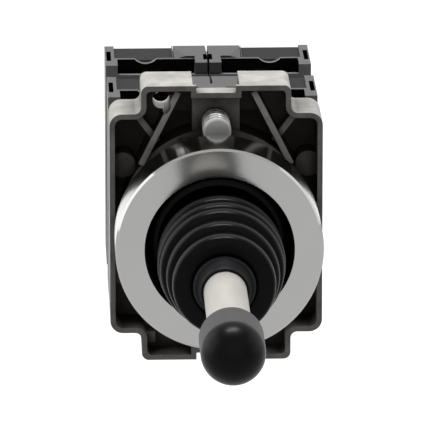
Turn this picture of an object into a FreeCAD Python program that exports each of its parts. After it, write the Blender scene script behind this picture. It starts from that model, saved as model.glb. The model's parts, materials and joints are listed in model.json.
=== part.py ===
import FreeCAD, Part

import math
import os
from types import SimpleNamespace

import Sketcher
from FreeCAD import Placement, Rotation, Vector

# Panel-mounted four-way joystick. Millimetres. The lever points along -Y towards the user,
# +X is to the user's right and +Z is up. The origin is on the head's axis, in the plane of
# the panel's front face, where the gasket's rear face lies.

SIZES = [
    ("seat_gap", 0.05, "gap between pieces of one body that slide together at assembly"),
    ("running_gap", 0.05, "radial clearance of a pin or rod that moves in its hole"),
    ("bezel_radius", 14.5, "outside of the bezel ring"),
    ("bezel_front", 8.0, "bezel face in front of the panel"),
    ("bezel_rear_gap", 0.2, "bezel skirt's rear edge to the panel"),
    ("bezel_bore_radius", 10.15, "opening that the boot stands in"),
    ("bezel_lip", 2.2, "thickness of the bezel's front lip"),
    ("bezel_wall", 1.3, "wall of the bezel's skirt"),
    ("bezel_chamfer", 0.3, "edge break round the bezel's face"),
    ("barrel_radius", 11.0, "barrel that goes through the panel"),
    ("barrel_length", 13.0, "barrel's rear end behind the panel"),
    ("barrel_bore_radius", 9.4, "bore of the barrel"),
    ("flange_front", 4.2, "front face of the barrel's flange, in front of the panel"),
    ("gasket_thickness", 1.2, "panel gasket"),
    ("flange_gap", 0.1, "skirt's bore to the barrel's flange, and gasket to the barrel"),
    ("boot_flange", 0.8, "thickness of the boot's clamped flange"),
    ("boot_wall", 0.8, "wall of the boot"),
    ("boot_base_radius", 8.2, "outside of the boot where it leaves its flange"),
    ("boot_valley_depth", 1.4, "depth of the boot's valleys under the ridges beside them"),
    ("ridge_one_at", 11.2, "first ridge in front of the panel"),
    ("ridge_one_radius", 8.65, "outside of the first ridge"),
    ("ridge_two_at", 15.0, "second ridge"),
    ("ridge_two_radius", 8.8, "outside of the second ridge"),
    ("ridge_three_at", 17.3, "third ridge"),
    ("ridge_three_radius", 8.5, "outside of the third ridge"),
    ("ridge_four_at", 20.9, "fourth ridge"),
    ("ridge_four_radius", 7.7, "outside of the fourth ridge"),
    ("ridge_five_at", 24.8, "fifth ridge"),
    ("ridge_five_radius", 7.0, "outside of the fifth ridge"),
    ("neck_from", 26.4, "start of the boot's tapered neck"),
    ("neck_to", 29.1, "front end of the boot's neck"),
    ("neck_wall", 1.3, "wall of the boot's neck where it starts"),
    ("neck_lip", 0.3, "wall at the front end of the neck"),
    ("neck_gap", 0.1, "boot's neck to the lever's shaft"),
    ("pivot_at", 1.5, "both tilt axes cross this far behind the panel's front face"),
    ("shaft_radius", 2.95, "lever's shaft"),
    ("knob_radius", 4.32, "knob"),
    ("knob_from", 50.5, "knob's rear face in front of the panel"),
    ("knob_to", 61.7, "tip of the knob"),
    ("knob_stud_radius", 1.9, "stud on the shaft that the knob screws on"),
    ("knob_stud_length", 5.5, "length of that stud"),
    ("knob_edge", 0.4, "chamfer of the knob's rear edge"),
    ("ball_radius", 4.6, "ball of the lever inside the gimbal ring"),
    ("stem_radius", 3.0, "lever's stem behind the ball"),
    ("tail_radius", 1.5, "threaded tail that holds the actuator plate"),
    ("tail_end", 7.0, "end of the tail behind the tilt axes"),
    ("plate_radius", 7.9, "actuator plate that pushes the rods"),
    ("plate_thickness", 1.2, "actuator plate"),
    ("plate_rear", 5.0, "actuator plate's rear face behind the tilt axes"),
    ("nut_radius", 3.1, "corner radius of the hexagonal nut behind the plate"),
    ("nut_thickness", 1.8, "nut behind the plate"),
    ("gimbal_outer_radius", 7.6, "outside of the gimbal ring"),
    ("gimbal_inner_radius", 5.2, "inside of the gimbal ring"),
    ("gimbal_thickness", 3.0, "gimbal ring along the head's axis"),
    ("pin_radius", 1.0, "pivot pins of both tilt axes"),
    ("pin_end_cover", 0.4, "barrel wall left over the end of a gimbal pin"),
    ("lever_pin_start", 1.6, "inner end of a lever pin, from the axis"),
    ("lever_pin_end_gap", 0.4, "lever pin's end below the outside of the gimbal ring"),
    ("guide_front", 10.0, "front face of the rod guide behind the panel"),
    ("guide_thickness", 2.2, "rod guide that closes the barrel"),
    ("clip_thickness", 0.6, "retaining ring behind the rod guide"),
    ("clip_inner_radius", 8.4, "inside of the retaining ring"),
    ("clip_groove_depth", 0.5, "depth of the retaining ring's groove in the bore"),
    ("clip_opening", 5.0, "gap in the retaining ring"),
    ("centring_coil_radius", 4.6, "mean radius of the centring spring"),
    ("centring_wire_radius", 0.35, "half the diagonal of the centring spring's square wire"),
    ("centring_turns", 2.5, "turns of the centring spring"),
    ("rod_radius", 1.0, "push rods"),
    ("rod_offset", 7.0, "push rods' distance from the head's axis"),
    ("rod_gap", 0.45, "rod nose behind the actuator plate at rest"),
    ("rod_travel", 1.4661, "travel of a push rod at a full tilt"),
    ("contact_spare", 0.08, "contact gap beyond the rod's travel"),
    ("collar_front", 6.0, "front rim of the fixing collar behind the panel's front face"),
    ("collar_depth", 8.6, "depth of the fixing collar"),
    ("collar_half_width", 15.0, "half of the collar's width"),
    ("collar_half_height", 20.0, "half of the collar's height over its lobes"),
    ("lobe_rise", 4.0, "top of the lobes above the collar's shoulders"),
    ("shoulder_width", 4.46, "width of a shoulder beside its lobe"),
    ("notch_half_width", 2.79, "half of the notch between two lobes"),
    ("notch_depth", 1.0, "depth of that notch"),
    ("collar_wall", 0.75, "rim wall of the collar"),
    ("collar_floor", 1.6, "floor of the collar"),
    ("corner_round", 1.8, "collar's four outer corners"),
    ("lobe_round", 1.0, "outer corners of the lobes"),
    ("inside_round", 0.95, "concave corners beside the lobes"),
    ("hollow_lobe_round", 0.6, "inner corners of the lobes"),
    ("hub_wall", 2.25, "wall of the hub round the barrel"),
    ("hub_gap", 0.15, "barrel to the hub"),
    ("hub_front", 7.6, "front face of the hub behind the panel's front face"),
    ("boss_half_width", 3.35, "half of the clamp screw's boss"),
    ("boss_front", 8.0, "front face of that boss behind the panel's front face"),
    ("access_half_width", 3.27, "half of the cut-away over the clamp screw"),
    ("access_from", 0.8, "cut-away's start behind the collar's rim"),
    ("bridge_depth", 3.0, "depth of the bridge between the lobes, from the rim"),
    ("screw_stand", 3.3, "clamp screw's axis beyond the barrel"),
    ("screw_radius", 2.0, "clamp screw's thread"),
    ("screw_cover", 1.1, "boss wall above the clamp screw"),
    ("screw_tip", 2.2, "clamp screw's tip behind the panel's front face"),
    ("screw_tip_radius", 1.3, "flat of the clamp screw's tip"),
    ("screw_tip_taper", 0.7, "length of the taper at the tip"),
    ("screw_head_radius", 3.05, "clamp screw's head"),
    ("screw_head_from", 15.5, "underside of the clamp screw's head"),
    ("screw_head_height", 3.7, "height of the clamp screw's head"),
    ("screw_head_cone", 1.2, "conical end of the clamp screw's head"),
    ("screw_head_narrowing", 0.6, "radius lost over that cone"),
    ("screw_slot_width", 0.9, "slot of the clamp screw"),
    ("screw_slot_depth", 1.6, "depth of the slot"),
    ("rib_thickness", 0.85, "diagonal ribs of the collar"),
    ("rib_start_out", 5.3, "upper end of a long rib, to the side"),
    ("rib_drop", 1.1, "upper end of a long rib below the lobes' top"),
    ("rib_angle", 63.4, "slope of a long rib"),
    ("rib_length", 11.8, "length of a long rib"),
    ("rib_front", 7.0, "front edge of the ribs behind the panel's front face"),
    ("brace_angle", 53.0, "slope of a short rib"),
    ("brace_length", 5.2, "length of a short rib"),
    ("shelf_drop", 0.7, "lower edge of a lobe's raised floor below the shoulders"),
    ("shelf_front", 10.6, "front face of that raised floor"),
    ("cup_inset", 1.0, "round boss under a lobe's floor, inside the lobe's side"),
    ("cup_drop", 1.2, "that boss below the shoulders"),
    ("cup_radius", 1.75, "radius of that boss"),
    ("pad_inset", 1.9, "round boss beside the hub, inside the collar's side"),
    ("pad_up", 7.8, "round boss beside the hub, above the axis"),
    ("pad_radius", 1.85, "radius of that boss"),
    ("pad_front", 9.2, "front face of the round bosses"),
    ("drain_radius", 1.25, "hole in the upper left lobe's floor"),
    ("drain_inset", 2.94, "that hole, inside the lobe's side"),
    ("drain_drop", 3.1, "that hole, below the lobes' top"),
    ("block_step", 1.65, "side of the small block in the lower left pocket"),
    ("block_step_inset", 1.14, "small block, inside the lobe's side"),
    ("block_step_rise", 2.7, "small block, above the lower lobes' ends"),
    ("locating_pin_radius", 0.85, "locating pin"),
    ("locating_pin_step", 1.415, "locating pin's axis beyond the barrel"),
    ("locating_pin_angle", 22.7, "locating pin, turned from the top to the left"),
    ("locating_pin_front", 3.4, "locating pin's front end behind the panel's front face"),
    ("locating_pin_length", 8.0, "length of the locating pin"),
    ("stack_gap", 0.1, "contact block to the barrel and to the next block"),
    ("block_seam", 0.1, "inner side of a contact block beside the middle plane"),
    ("block_grid_gap", 0.05, "side of a contact block inside the collar's side"),
    ("nose_inset", 1.05, "outer side of a block's nose inside the block's side"),
    ("block_nose_half", 11.0, "half height of a block's nose"),
    ("block_half", 15.0, "half height of a block's terminal part"),
    ("block_depth", 18.5, "depth of a contact block"),
    ("block_shoulder", 6.6, "depth of a block's nose"),
    ("recess_side", 8.6, "outer side of the recess for the transfer arms"),
    ("recess_half", 8.6, "half height of that recess"),
    ("recess_front", 3.5, "depth of the front recess"),
    ("recess_rear", 1.1, "depth of the rear recess"),
    ("wall_front", 1.4, "wall between the front recess and the chamber"),
    ("wall_rear", 1.2, "wall between the chamber and the rear recess"),
    ("chamber_side_in", 2.6, "inner side of the chamber"),
    ("chamber_side_wall", 2.05, "outer wall of the chamber"),
    ("terminal_depth", 5.7, "floor of a wire entry below the block's top"),
    ("terminal_floor", 0.7, "floor of a wire entry, above the chamber"),
    ("groove_radius", 1.3, "groove for a long push rod between two blocks"),
    ("cover_thickness", 1.1, "side cover of a contact block"),
    ("cover_margin", 0.8, "cover's rim beyond the chamber"),
    ("cover_front", 7.6, "front edge of the side cover"),
    ("cover_rear_wall", 0.9, "housing behind the side cover"),
    ("wire_side_in", 2.0, "inner side of a wire entry"),
    ("wire_side_wall", 1.75, "outer wall of a wire entry"),
    ("wire_front", 7.4, "front of a wire entry"),
    ("wire_rear", 10.4, "rear of a wire entry"),
    ("sill_drop", 1.4, "lowered front wall of a wire entry"),
    ("inset_side_in", 5.1, "inner side of the inset panel"),
    ("inset_margin", 1.35, "inset panel to the block's side"),
    ("inset_front", 11.1, "front edge of the inset panel"),
    ("inset_depth", 0.35, "depth of the inset panel"),
    ("edge_wall", 0.2, "wall outside the pocket in the outer edge"),
    ("edge_pocket_width", 0.65, "width of that pocket"),
    ("edge_pocket_front", 9.6, "front of that pocket"),
    ("edge_pocket_rear", 15.2, "rear of that pocket"),
    ("edge_pocket_depth", 3.5, "depth of that pocket"),
    ("scoop_radius", 2.2, "scoop for a screwdriver behind a wire entry"),
    ("scoop_rise", 1.5, "scoop's axis above the block's top"),
    ("scoop_lap", 0.3, "end of the scoop behind the inset panel's front edge"),
    ("terminal_inset", 5.88, "terminal screws, inside the block's side"),
    ("terminal_drop", 3.5, "terminal screws, below the block's top"),
    ("terminal_thread_radius", 1.4, "terminal screw's thread"),
    ("terminal_head_radius", 2.1, "terminal screw's head"),
    ("terminal_head_height", 2.4, "terminal screw's head"),
    ("terminal_slot", 0.6, "slot of a terminal screw"),
    ("access_gap", 0.15, "screwdriver hole round a terminal screw's head"),
    ("strip_thickness", 0.7, "fixed contact strips"),
    ("strip_half_width", 1.5, "half width of a strip inside the chamber"),
    ("strip_lap", 1.2, "fixed strip beyond its button, towards the middle"),
    ("strip_end_drop", 1.5, "outer end of a fixed strip below the block's top"),
    ("tab_half_width", 3.0, "half width of a strip's terminal tab"),
    ("button_radius", 1.1, "contact buttons"),
    ("button_height", 0.5, "contact buttons"),
    ("bridge_thickness", 0.5, "moving contact bridge"),
    ("bridge_end_gap", 1.8, "end of the moving contact bridge to the chamber"),
    ("bridge_lap", 1.2, "moving contact bridge beyond its buttons"),
    ("bridge_half_width", 1.1, "half width of the moving contact bridge"),
    ("plunger_front", 6.4, "front face of a plunger inside its block"),
    ("plunger_rear", 11.0, "rear face of a plunger inside its block"),
    ("plunger_half_width", 1.6, "half width of a plunger"),
    ("plunger_half_height", 1.6, "half height of a plunger"),
    ("return_coil_radius", 1.15, "mean radius of a return spring"),
    ("return_wire_radius", 0.2, "half the diagonal of a return spring's square wire"),
    ("return_turns", 3.5, "turns of a return spring"),
    ("clamp_front_gap", 0.4, "clamp plate behind the front of its wire entry"),
    ("clamp_thickness", 1.0, "terminal clamp plates"),
    ("clamp_half_width", 2.9, "half width of a clamp plate"),
    ("clamp_length", 3.8, "clamp plate from the floor of its wire entry outwards"),
    ("arm_thickness", 1.4, "transfer arm of a long push rod"),
    ("arm_half_width", 1.2, "half width of a transfer arm"),
    ("arm_front", 0.45, "transfer arm inside the rear block's front recess"),
    ("latch_side_in", 0.15, "inner side of a latch"),
    ("latch_tongue_side", 1.9, "outer side of a latch's tongue"),
    ("latch_side_out", 4.9, "outer side of a latch"),
    ("latch_gap", 0.1, "latch to the sides of its channel"),
    ("latch_front", 6.9, "front end of a latch's tongue"),
    ("latch_wide_from", 11.0, "front of a latch's wide part"),
    ("latch_sink", 1.3, "underside of a latch below the block's top"),
    ("latch_rise", 0.3, "top of a latch above the block's top"),
    ("latch_step", 0.3, "step on a latch for the screwdriver's blade"),
    ("latch_step_length", 2.2, "length of that step"),
    ("facet_inset", 1.8, "sloping facet's start on a latch's front edge, inside its outer side"),
    ("facet_turn", 71.2, "direction of the facet's upper edge, from the front edge"),
    ("facet_tilt", 15.0, "slope of the facet"),
    ("facet_size", 8.0, "tool that cuts the facet"),
    ("seam_slot_side", 0.65, "outer side of the small slot at the seam"),
    ("seam_slot_front", 8.8, "front of that slot"),
    ("seam_slot_rear", 12.1, "rear of that slot"),
    ("seam_slot_depth", 4.4, "floor of that slot below the block's top"),
    ("key_front", 15.0, "front of the key that closes the seam behind the slot"),
    ("key_rear", 18.4, "rear of that key"),
    ("key_low", 3.4, "lower edge of the key, below the block's top"),
    ("key_high", 1.5, "upper edge of the key, below the block's top"),
]

# Cutters run this far past the faces that they open
OVER = 1

DOC = FreeCAD.newDocument("joystick")


class Term:
    """A number that also carries the expression that ties it to the sheet."""

    def __init__(self, text, value):
        self.text = text
        self.value = value

    def __add__(self, other):
        other = as_term(other)
        return Term(f"({self.text} + {other.text})", self.value + other.value)

    def __sub__(self, other):
        other = as_term(other)
        return Term(f"({self.text} - {other.text})", self.value - other.value)

    def __mul__(self, other):
        other = as_term(other)
        return Term(f"({self.text} * {other.text})", self.value * other.value)

    def __truediv__(self, other):
        other = as_term(other)
        return Term(f"({self.text} / {other.text})", self.value / other.value)

    def __neg__(self):
        return Term(f"(0 - {self.text})", -self.value)

    __radd__ = __add__
    __rmul__ = __mul__

    def __rsub__(self, other):
        return as_term(other) - self


def as_term(number):
    if isinstance(number, Term):
        return number
    return Term(f"{float(number):.6f}", float(number))


def sine(angle):
    return Term(f"sin({angle.text})", math.sin(math.radians(angle.value)))


def cosine(angle):
    return Term(f"cos({angle.text})", math.cos(math.radians(angle.value)))


def make_sheet():
    """Write the driving dimensions to the sheet and return them as terms by name."""
    sheet = DOC.addObject("Spreadsheet::Sheet", "Sizes")
    names = {}
    for row, (name, value, note) in enumerate(SIZES, start=1):
        sheet.set(f"A{row}", name)
        sheet.set(f"B{row}", str(value))
        sheet.set(f"C{row}", note)
        sheet.setAlias(f"B{row}", name)
        names[name] = Term(f"Sizes.{name}", value)
    DOC.recompute()
    return SimpleNamespace(**names)


d = make_sheet()
NODES = []


def node(shape_object, label):
    """Name a finished sub-part; the label is also its file's name."""
    shape_object.Label = label
    NODES.append(shape_object)
    return shape_object


def tie(thing, prop, value):
    thing.setExpression(prop, as_term(value).text)


# Primitives tied to the sheet

def brick(name, x_span, y_span, z_span):
    """Box between two places along each axis."""
    box = DOC.addObject("Part::Box", name)
    spans = (x_span, y_span, z_span)
    for prop, axis, (low, high) in zip(("Length", "Width", "Height"), "xyz", spans):
        tie(box, prop, as_term(high) - low)
        tie(box, f"Placement.Base.{axis}", low)
    return box


def leaning_bar(name, x_start, z_start, angle, length, thickness, y_span):
    """Bar in the X-Z plane that starts at a point and leans down by an angle from +X."""
    bar = DOC.addObject("Part::Box", name)
    bar.Placement = Placement(Vector(0, 0, 0), Rotation(Vector(0, 1, 0), 1))
    tie(bar, "Placement.Rotation.Angle", angle)
    tie(bar, "Length", length)
    tie(bar, "Width", y_span[1] - y_span[0])
    tie(bar, "Height", thickness)
    tie(bar, "Placement.Base.x", x_start - sine(angle) * thickness / 2)
    tie(bar, "Placement.Base.y", y_span[0])
    tie(bar, "Placement.Base.z", z_start - cosine(angle) * thickness / 2)
    return bar


TURN_TO = {
    "x": Rotation(Vector(0, 1, 0), 90),
    "y": Rotation(Vector(1, 0, 0), -90),
    "z": Rotation(),
}


def round_bar(name, axis, radius, span, x=0, y=0, z=0):
    """Cylinder along one axis, from span[0] to span[1]."""
    bar = DOC.addObject("Part::Cylinder", name)
    bar.Placement = Placement(Vector(0, 0, 0), TURN_TO[axis])
    tie(bar, "Radius", radius)
    tie(bar, "Height", as_term(span[1]) - span[0])
    place = {"x": x, "y": y, "z": z}
    place[axis] = span[0]
    for letter, where in place.items():
        tie(bar, f"Placement.Base.{letter}", where)
    return bar


def cone_bar(name, radii, span, x=0, z=0):
    """Cone along Y, with a radius at each end of its span."""
    cone = DOC.addObject("Part::Cone", name)
    cone.Placement = Placement(Vector(0, 0, 0), TURN_TO["y"])
    tie(cone, "Radius1", radii[0])
    tie(cone, "Radius2", radii[1])
    tie(cone, "Height", span[1] - span[0])
    tie(cone, "Placement.Base.x", x)
    tie(cone, "Placement.Base.y", span[0])
    tie(cone, "Placement.Base.z", z)
    return cone


def ball(name, radius, x=0, y=0, z=0):
    sphere = DOC.addObject("Part::Sphere", name)
    tie(sphere, "Radius", radius)
    for letter, where in {"x": x, "y": y, "z": z}.items():
        tie(sphere, f"Placement.Base.{letter}", where)
    return sphere


def join(name, pieces):
    fused = DOC.addObject("Part::MultiFuse", name)
    fused.Shapes = pieces
    fused.Refine = True
    return fused


def carve(name, base, tools):
    """Cut every tool from the base."""
    tool = tools[0] if len(tools) == 1 else join(name + "_tools", tools)
    cut = DOC.addObject("Part::Cut", name)
    cut.Base = base
    cut.Tool = tool
    cut.Refine = True
    return cut


# Bodies from sketches

def outline_sketch(body, plane_role, name, corners):
    """Closed outline of straight lines whose corners are all tied to the sheet."""
    sketch = body.newObject("Sketcher::SketchObject", name)
    plane = [item for item in body.Origin.OriginFeatures if item.Role == plane_role][0]
    sketch.AttachmentSupport = [(plane, "")]
    sketch.MapMode = "FlatFace"
    corners = [(as_term(across), as_term(up)) for across, up in corners]
    count = len(corners)
    for index in range(count):
        here = corners[index]
        there = corners[(index + 1) % count]
        start = Vector(here[0].value, here[1].value, 0)
        end = Vector(there[0].value, there[1].value, 0)
        sketch.addGeometry(Part.LineSegment(start, end), False)
    for index, corner in enumerate(corners):
        sketch.addConstraint(Sketcher.Constraint("Coincident", index, 2, (index + 1) % count, 1))
        for kind, place in zip(("DistanceX", "DistanceY"), corner):
            rule = sketch.addConstraint(Sketcher.Constraint(kind, -1, 1, index, 1, place.value))
            sketch.setExpression(f"Constraints[{rule}]", place.text)
    return sketch


def turned_body(name, corners):
    """Body turned about the Y axis from (radius, y) corners."""
    body = DOC.addObject("PartDesign::Body", name)
    sketch = outline_sketch(body, "XY_Plane", name + "_outline", corners)
    turn = body.newObject("PartDesign::Revolution", name + "_turn")
    turn.Profile = sketch
    turn.ReferenceAxis = (sketch, ["V_Axis"])
    turn.Angle = 360
    body.Tip = turn
    return body


def along_y_edges(shape, corners):
    """Names of the straight edges along Y that pass through the given (x, z) corners."""
    wanted = []
    for number, edge in enumerate(shape.Edges, start=1):
        start = edge.Vertexes[0].Point
        end = edge.Vertexes[-1].Point
        if (end - start).cross(Vector(0, 1, 0)).Length > 1e-6:
            continue
        if any(math.hypot(start.x - x.value, start.z - z.value) < 1e-4 for x, z in corners):
            wanted.append(f"Edge{number}")
    return wanted


def round_edges(body, before, name, radius, corners):
    """Fillet on the edges along Y at the given corners."""
    DOC.recompute()
    fillet = body.newObject("PartDesign::Fillet", name)
    fillet.Base = (before, along_y_edges(before.Shape, corners))
    tie(fillet, "Radius", radius)
    body.Tip = fillet
    return fillet


def four_ways(across, up):
    """One corner mirrored into all four quarters."""
    return [(side * across, level * up) for side in (1, -1) for level in (1, -1)]


# Head: bezel, barrel, gasket, boot and what holds them

BEZEL_LIP_BACK = -(d.bezel_front - d.bezel_lip)
SKIRT_BORE = d.bezel_radius - d.bezel_wall
FLANGE_RADIUS = SKIRT_BORE - d.flange_gap
BOOT_FLANGE_FRONT = -(d.flange_front + d.boot_flange)


def make_bezel():
    """Ring with a flat annular face, whose skirt hides the barrel's flange and the gasket."""
    front = -d.bezel_front
    rear = -d.bezel_rear_gap
    chamfer = d.bezel_chamfer
    return node(turned_body("bezel", [
        (d.bezel_bore_radius + chamfer, front),
        (d.bezel_radius - chamfer, front),
        (d.bezel_radius, front + chamfer),
        (d.bezel_radius, rear),
        (SKIRT_BORE, rear),
        (SKIRT_BORE, BEZEL_LIP_BACK),
        (d.bezel_bore_radius, BEZEL_LIP_BACK),
        (d.bezel_bore_radius, front + chamfer),
    ]), "bezel")


def make_barrel():
    """Flanged barrel, with cross holes for the gimbal pins and a groove for the clip."""
    clip_front = d.guide_front + d.guide_thickness
    groove_rear = clip_front + d.clip_thickness + d.seat_gap
    groove_radius = d.barrel_bore_radius + d.clip_groove_depth
    turned = turned_body("barrel_turned", [
        (d.barrel_bore_radius, -d.flange_front),
        (FLANGE_RADIUS, -d.flange_front),
        (FLANGE_RADIUS, -d.gasket_thickness),
        (d.barrel_radius, -d.gasket_thickness),
        (d.barrel_radius, d.barrel_length),
        (d.barrel_bore_radius, d.barrel_length),
        (d.barrel_bore_radius, groove_rear),
        (groove_radius, groove_rear),
        (groove_radius, clip_front),
        (d.barrel_bore_radius, clip_front),
    ])
    reach = d.barrel_radius + OVER
    pin_hole = round_bar("gimbal_pin_hole", "x", d.pin_radius + d.running_gap, (-reach, reach),
                         y=d.pivot_at)
    return node(carve("head_barrel", turned, [pin_hole]), "head_barrel")


def make_gasket():
    inner = d.barrel_radius + d.flange_gap
    return node(turned_body("panel_gasket", [
        (inner, -d.gasket_thickness),
        (FLANGE_RADIUS, -d.gasket_thickness),
        (FLANGE_RADIUS, 0),
        (inner, 0),
    ]), "panel_gasket")


def make_clamp_ring():
    """Metal ring that presses the boot's flange against the barrel."""
    inner = d.bezel_bore_radius + d.flange_gap
    outer = FLANGE_RADIUS - d.flange_gap
    return node(turned_body("boot_clamp_ring", [
        (inner, BEZEL_LIP_BACK),
        (outer, BEZEL_LIP_BACK),
        (outer, BOOT_FLANGE_FRONT),
        (inner, BOOT_FLANGE_FRONT),
    ]), "boot_clamp_ring")


def boot_ridges():
    """The boot's ridges as (outside radius, place along Y) pairs, rearmost first."""
    return [
        (d.ridge_one_radius, -d.ridge_one_at),
        (d.ridge_two_radius, -d.ridge_two_at),
        (d.ridge_three_radius, -d.ridge_three_at),
        (d.ridge_four_radius, -d.ridge_four_at),
        (d.ridge_five_radius, -d.ridge_five_at),
    ]


def boot_folds():
    """Ridges with a valley half way between each two of them."""
    ridges = boot_ridges()
    folds = [ridges[0]]
    for (radius, at), (next_radius, next_at) in zip(ridges, ridges[1:]):
        low = next_radius if next_radius.value < radius.value else radius
        folds.append((low - d.boot_valley_depth, (at + next_at) / 2))
        folds.append((next_radius, next_at))
    return folds


def make_boot():
    """Rubber bellows: a clamped flange, five ridges and a tapered neck on the lever's shaft."""
    folds = boot_folds()
    wall = d.boot_wall
    hole = d.shaft_radius + d.neck_gap
    neck = hole + d.neck_wall
    rim = FLANGE_RADIUS - d.flange_gap
    outside = [(d.boot_base_radius, BOOT_FLANGE_FRONT)] + folds + [(neck, -d.neck_from)]
    inside = [(hole, wall - d.neck_from)]
    inside += [(radius - wall, at) for radius, at in reversed(folds)]
    inside += [(d.boot_base_radius - wall, -d.flange_front)]
    ends = [(hole + d.neck_lip, -d.neck_to), (hole, -d.neck_to)]
    flange = [(rim, -d.flange_front), (rim, BOOT_FLANGE_FRONT)]
    return node(turned_body("boot", outside + ends + inside + flange), "rubber_boot")


def make_guide():
    """Disc that closes the barrel and guides the four push rods."""
    rear = d.guide_front + d.guide_thickness
    disc = round_bar("guide_disc", "y", d.barrel_bore_radius - d.seat_gap, (d.guide_front, rear))
    holes = []
    for index, (x, z) in enumerate(rod_places()):
        holes.append(round_bar(f"guide_hole_{index}", "y", d.rod_radius + d.running_gap,
                               (d.guide_front - OVER, rear + OVER), x=x, z=z))
    return node(carve("rod_guide", disc, holes), "rod_guide")


def make_clip():
    """Open retaining ring behind the rod guide."""
    front = d.guide_front + d.guide_thickness
    span = (front, front + d.clip_thickness)
    outer = d.barrel_bore_radius + d.clip_groove_depth - d.seat_gap
    disc = round_bar("clip_disc", "y", outer, span)
    past = (span[0] - OVER, span[1] + OVER)
    eye = round_bar("clip_eye", "y", d.clip_inner_radius, past)
    slot = brick("clip_slot", (-d.clip_opening / 2, d.clip_opening / 2), past, (-outer - OVER, 0))
    return node(carve("retaining_ring", disc, [eye, slot]), "retaining_ring")


def coil(label, coil_radius, wire_radius, turns, span, x=0.0):
    """Helical spring of square wire along Y between two flat seats."""
    low = span[0] + wire_radius
    high = span[1] - wire_radius
    helix = Part.makeHelix((high - low) / turns, high - low, coil_radius)
    corners = [
        Vector(coil_radius + wire_radius, 0, 0),
        Vector(coil_radius, 0, wire_radius),
        Vector(coil_radius - wire_radius, 0, 0),
        Vector(coil_radius, 0, -wire_radius),
    ]
    section = Part.makePolygon(corners + corners[:1])
    spring = DOC.addObject("Part::Feature", label)
    spring.Shape = Part.Wire(helix).makePipeShell([section], True, True)
    spring.Placement = Placement(Vector(x, low, 0), TURN_TO["y"])
    return node(spring, label)


def make_centring_spring():
    gap = d.seat_gap.value
    span = (d.pivot_at.value + d.plate_rear.value + gap, d.guide_front.value - gap)
    return coil("centring_spring", d.centring_coil_radius.value, d.centring_wire_radius.value,
                d.centring_turns.value, span)


# Lever and gimbal

def make_gimbal():
    half = d.gimbal_thickness / 2
    span = (d.pivot_at - half, d.pivot_at + half)
    disc = round_bar("gimbal_disc", "y", d.gimbal_outer_radius, span)
    eye = round_bar("gimbal_eye", "y", d.gimbal_inner_radius, (span[0] - OVER, span[1] + OVER))
    reach = d.gimbal_outer_radius + OVER
    across = round_bar("gimbal_across", "x", d.pin_radius, (-reach, reach), y=d.pivot_at)
    upright = round_bar("gimbal_upright", "z", d.pin_radius + d.running_gap, (-reach, reach),
                        y=d.pivot_at)
    node(carve("gimbal_ring", disc, [eye, across, upright]), "gimbal_ring")
    inner = d.gimbal_inner_radius + d.seat_gap
    outer = d.barrel_radius - d.pin_end_cover
    pins = [
        round_bar("gimbal_pin_right", "x", d.pin_radius, (inner, outer), y=d.pivot_at),
        round_bar("gimbal_pin_left", "x", d.pin_radius, (-outer, -inner), y=d.pivot_at),
    ]
    node(join("gimbal_pins", pins), "gimbal_pins")


def make_lever():
    """Shaft, ball, stem and threaded tail, with cross holes for the lever pins."""
    plate_front = d.pivot_at + d.plate_rear - d.plate_thickness
    across = (-d.ball_radius, d.ball_radius)
    behind = brick("behind_ball", across, (plate_front - d.seat_gap, plate_front + d.ball_radius), across)
    pieces = [
        round_bar("lever_stud", "y", d.knob_stud_radius,
                  (-d.knob_from - d.knob_stud_length, -d.knob_from)),
        round_bar("lever_rod", "y", d.shaft_radius, (-d.knob_from, d.pivot_at)),
        carve("lever_flat_ball", ball("lever_ball", d.ball_radius, y=d.pivot_at), [behind]),
        round_bar("lever_stem", "y", d.stem_radius, (d.pivot_at, plate_front)),
        round_bar("lever_tail", "y", d.tail_radius, (d.pivot_at, d.pivot_at + d.tail_end)),
    ]
    solid = join("lever_solid", pieces)
    end = d.ball_radius + OVER
    holes = [
        round_bar("lever_hole_up", "z", d.pin_radius, (d.lever_pin_start, end), y=d.pivot_at),
        round_bar("lever_hole_down", "z", d.pin_radius, (-end, -d.lever_pin_start), y=d.pivot_at),
    ]
    node(carve("lever_shaft", solid, holes), "lever_shaft")
    tip = d.gimbal_outer_radius - d.lever_pin_end_gap
    pins = [
        round_bar("lever_pin_up", "z", d.pin_radius, (d.lever_pin_start, tip), y=d.pivot_at),
        round_bar("lever_pin_down", "z", d.pin_radius, (-tip, -d.lever_pin_start), y=d.pivot_at),
    ]
    node(join("pivot_pins", pins), "pivot_pins")


def make_actuator():
    """Disc on the lever's tail, and the nut that holds it."""
    rear = d.pivot_at + d.plate_rear
    front = rear - d.plate_thickness
    disc = round_bar("plate_disc", "y", d.plate_radius, (front, rear))
    hole = round_bar("plate_hole", "y", d.tail_radius + d.seat_gap, (front - OVER, rear + OVER))
    node(carve("actuator_plate", disc, [hole]), "actuator_plate")
    nut = DOC.addObject("Part::Prism", "nut_hexagon")
    nut.Placement = Placement(Vector(0, 0, 0), TURN_TO["y"])
    nut.Polygon = 6
    tie(nut, "Circumradius", d.nut_radius)
    tie(nut, "Height", d.nut_thickness)
    tie(nut, "Placement.Base.y", rear)
    thread = round_bar("nut_thread", "y", d.tail_radius + d.seat_gap,
                       (rear - OVER, rear + d.nut_thickness + OVER))
    node(carve("plate_nut", nut, [thread]), "plate_nut")


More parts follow.
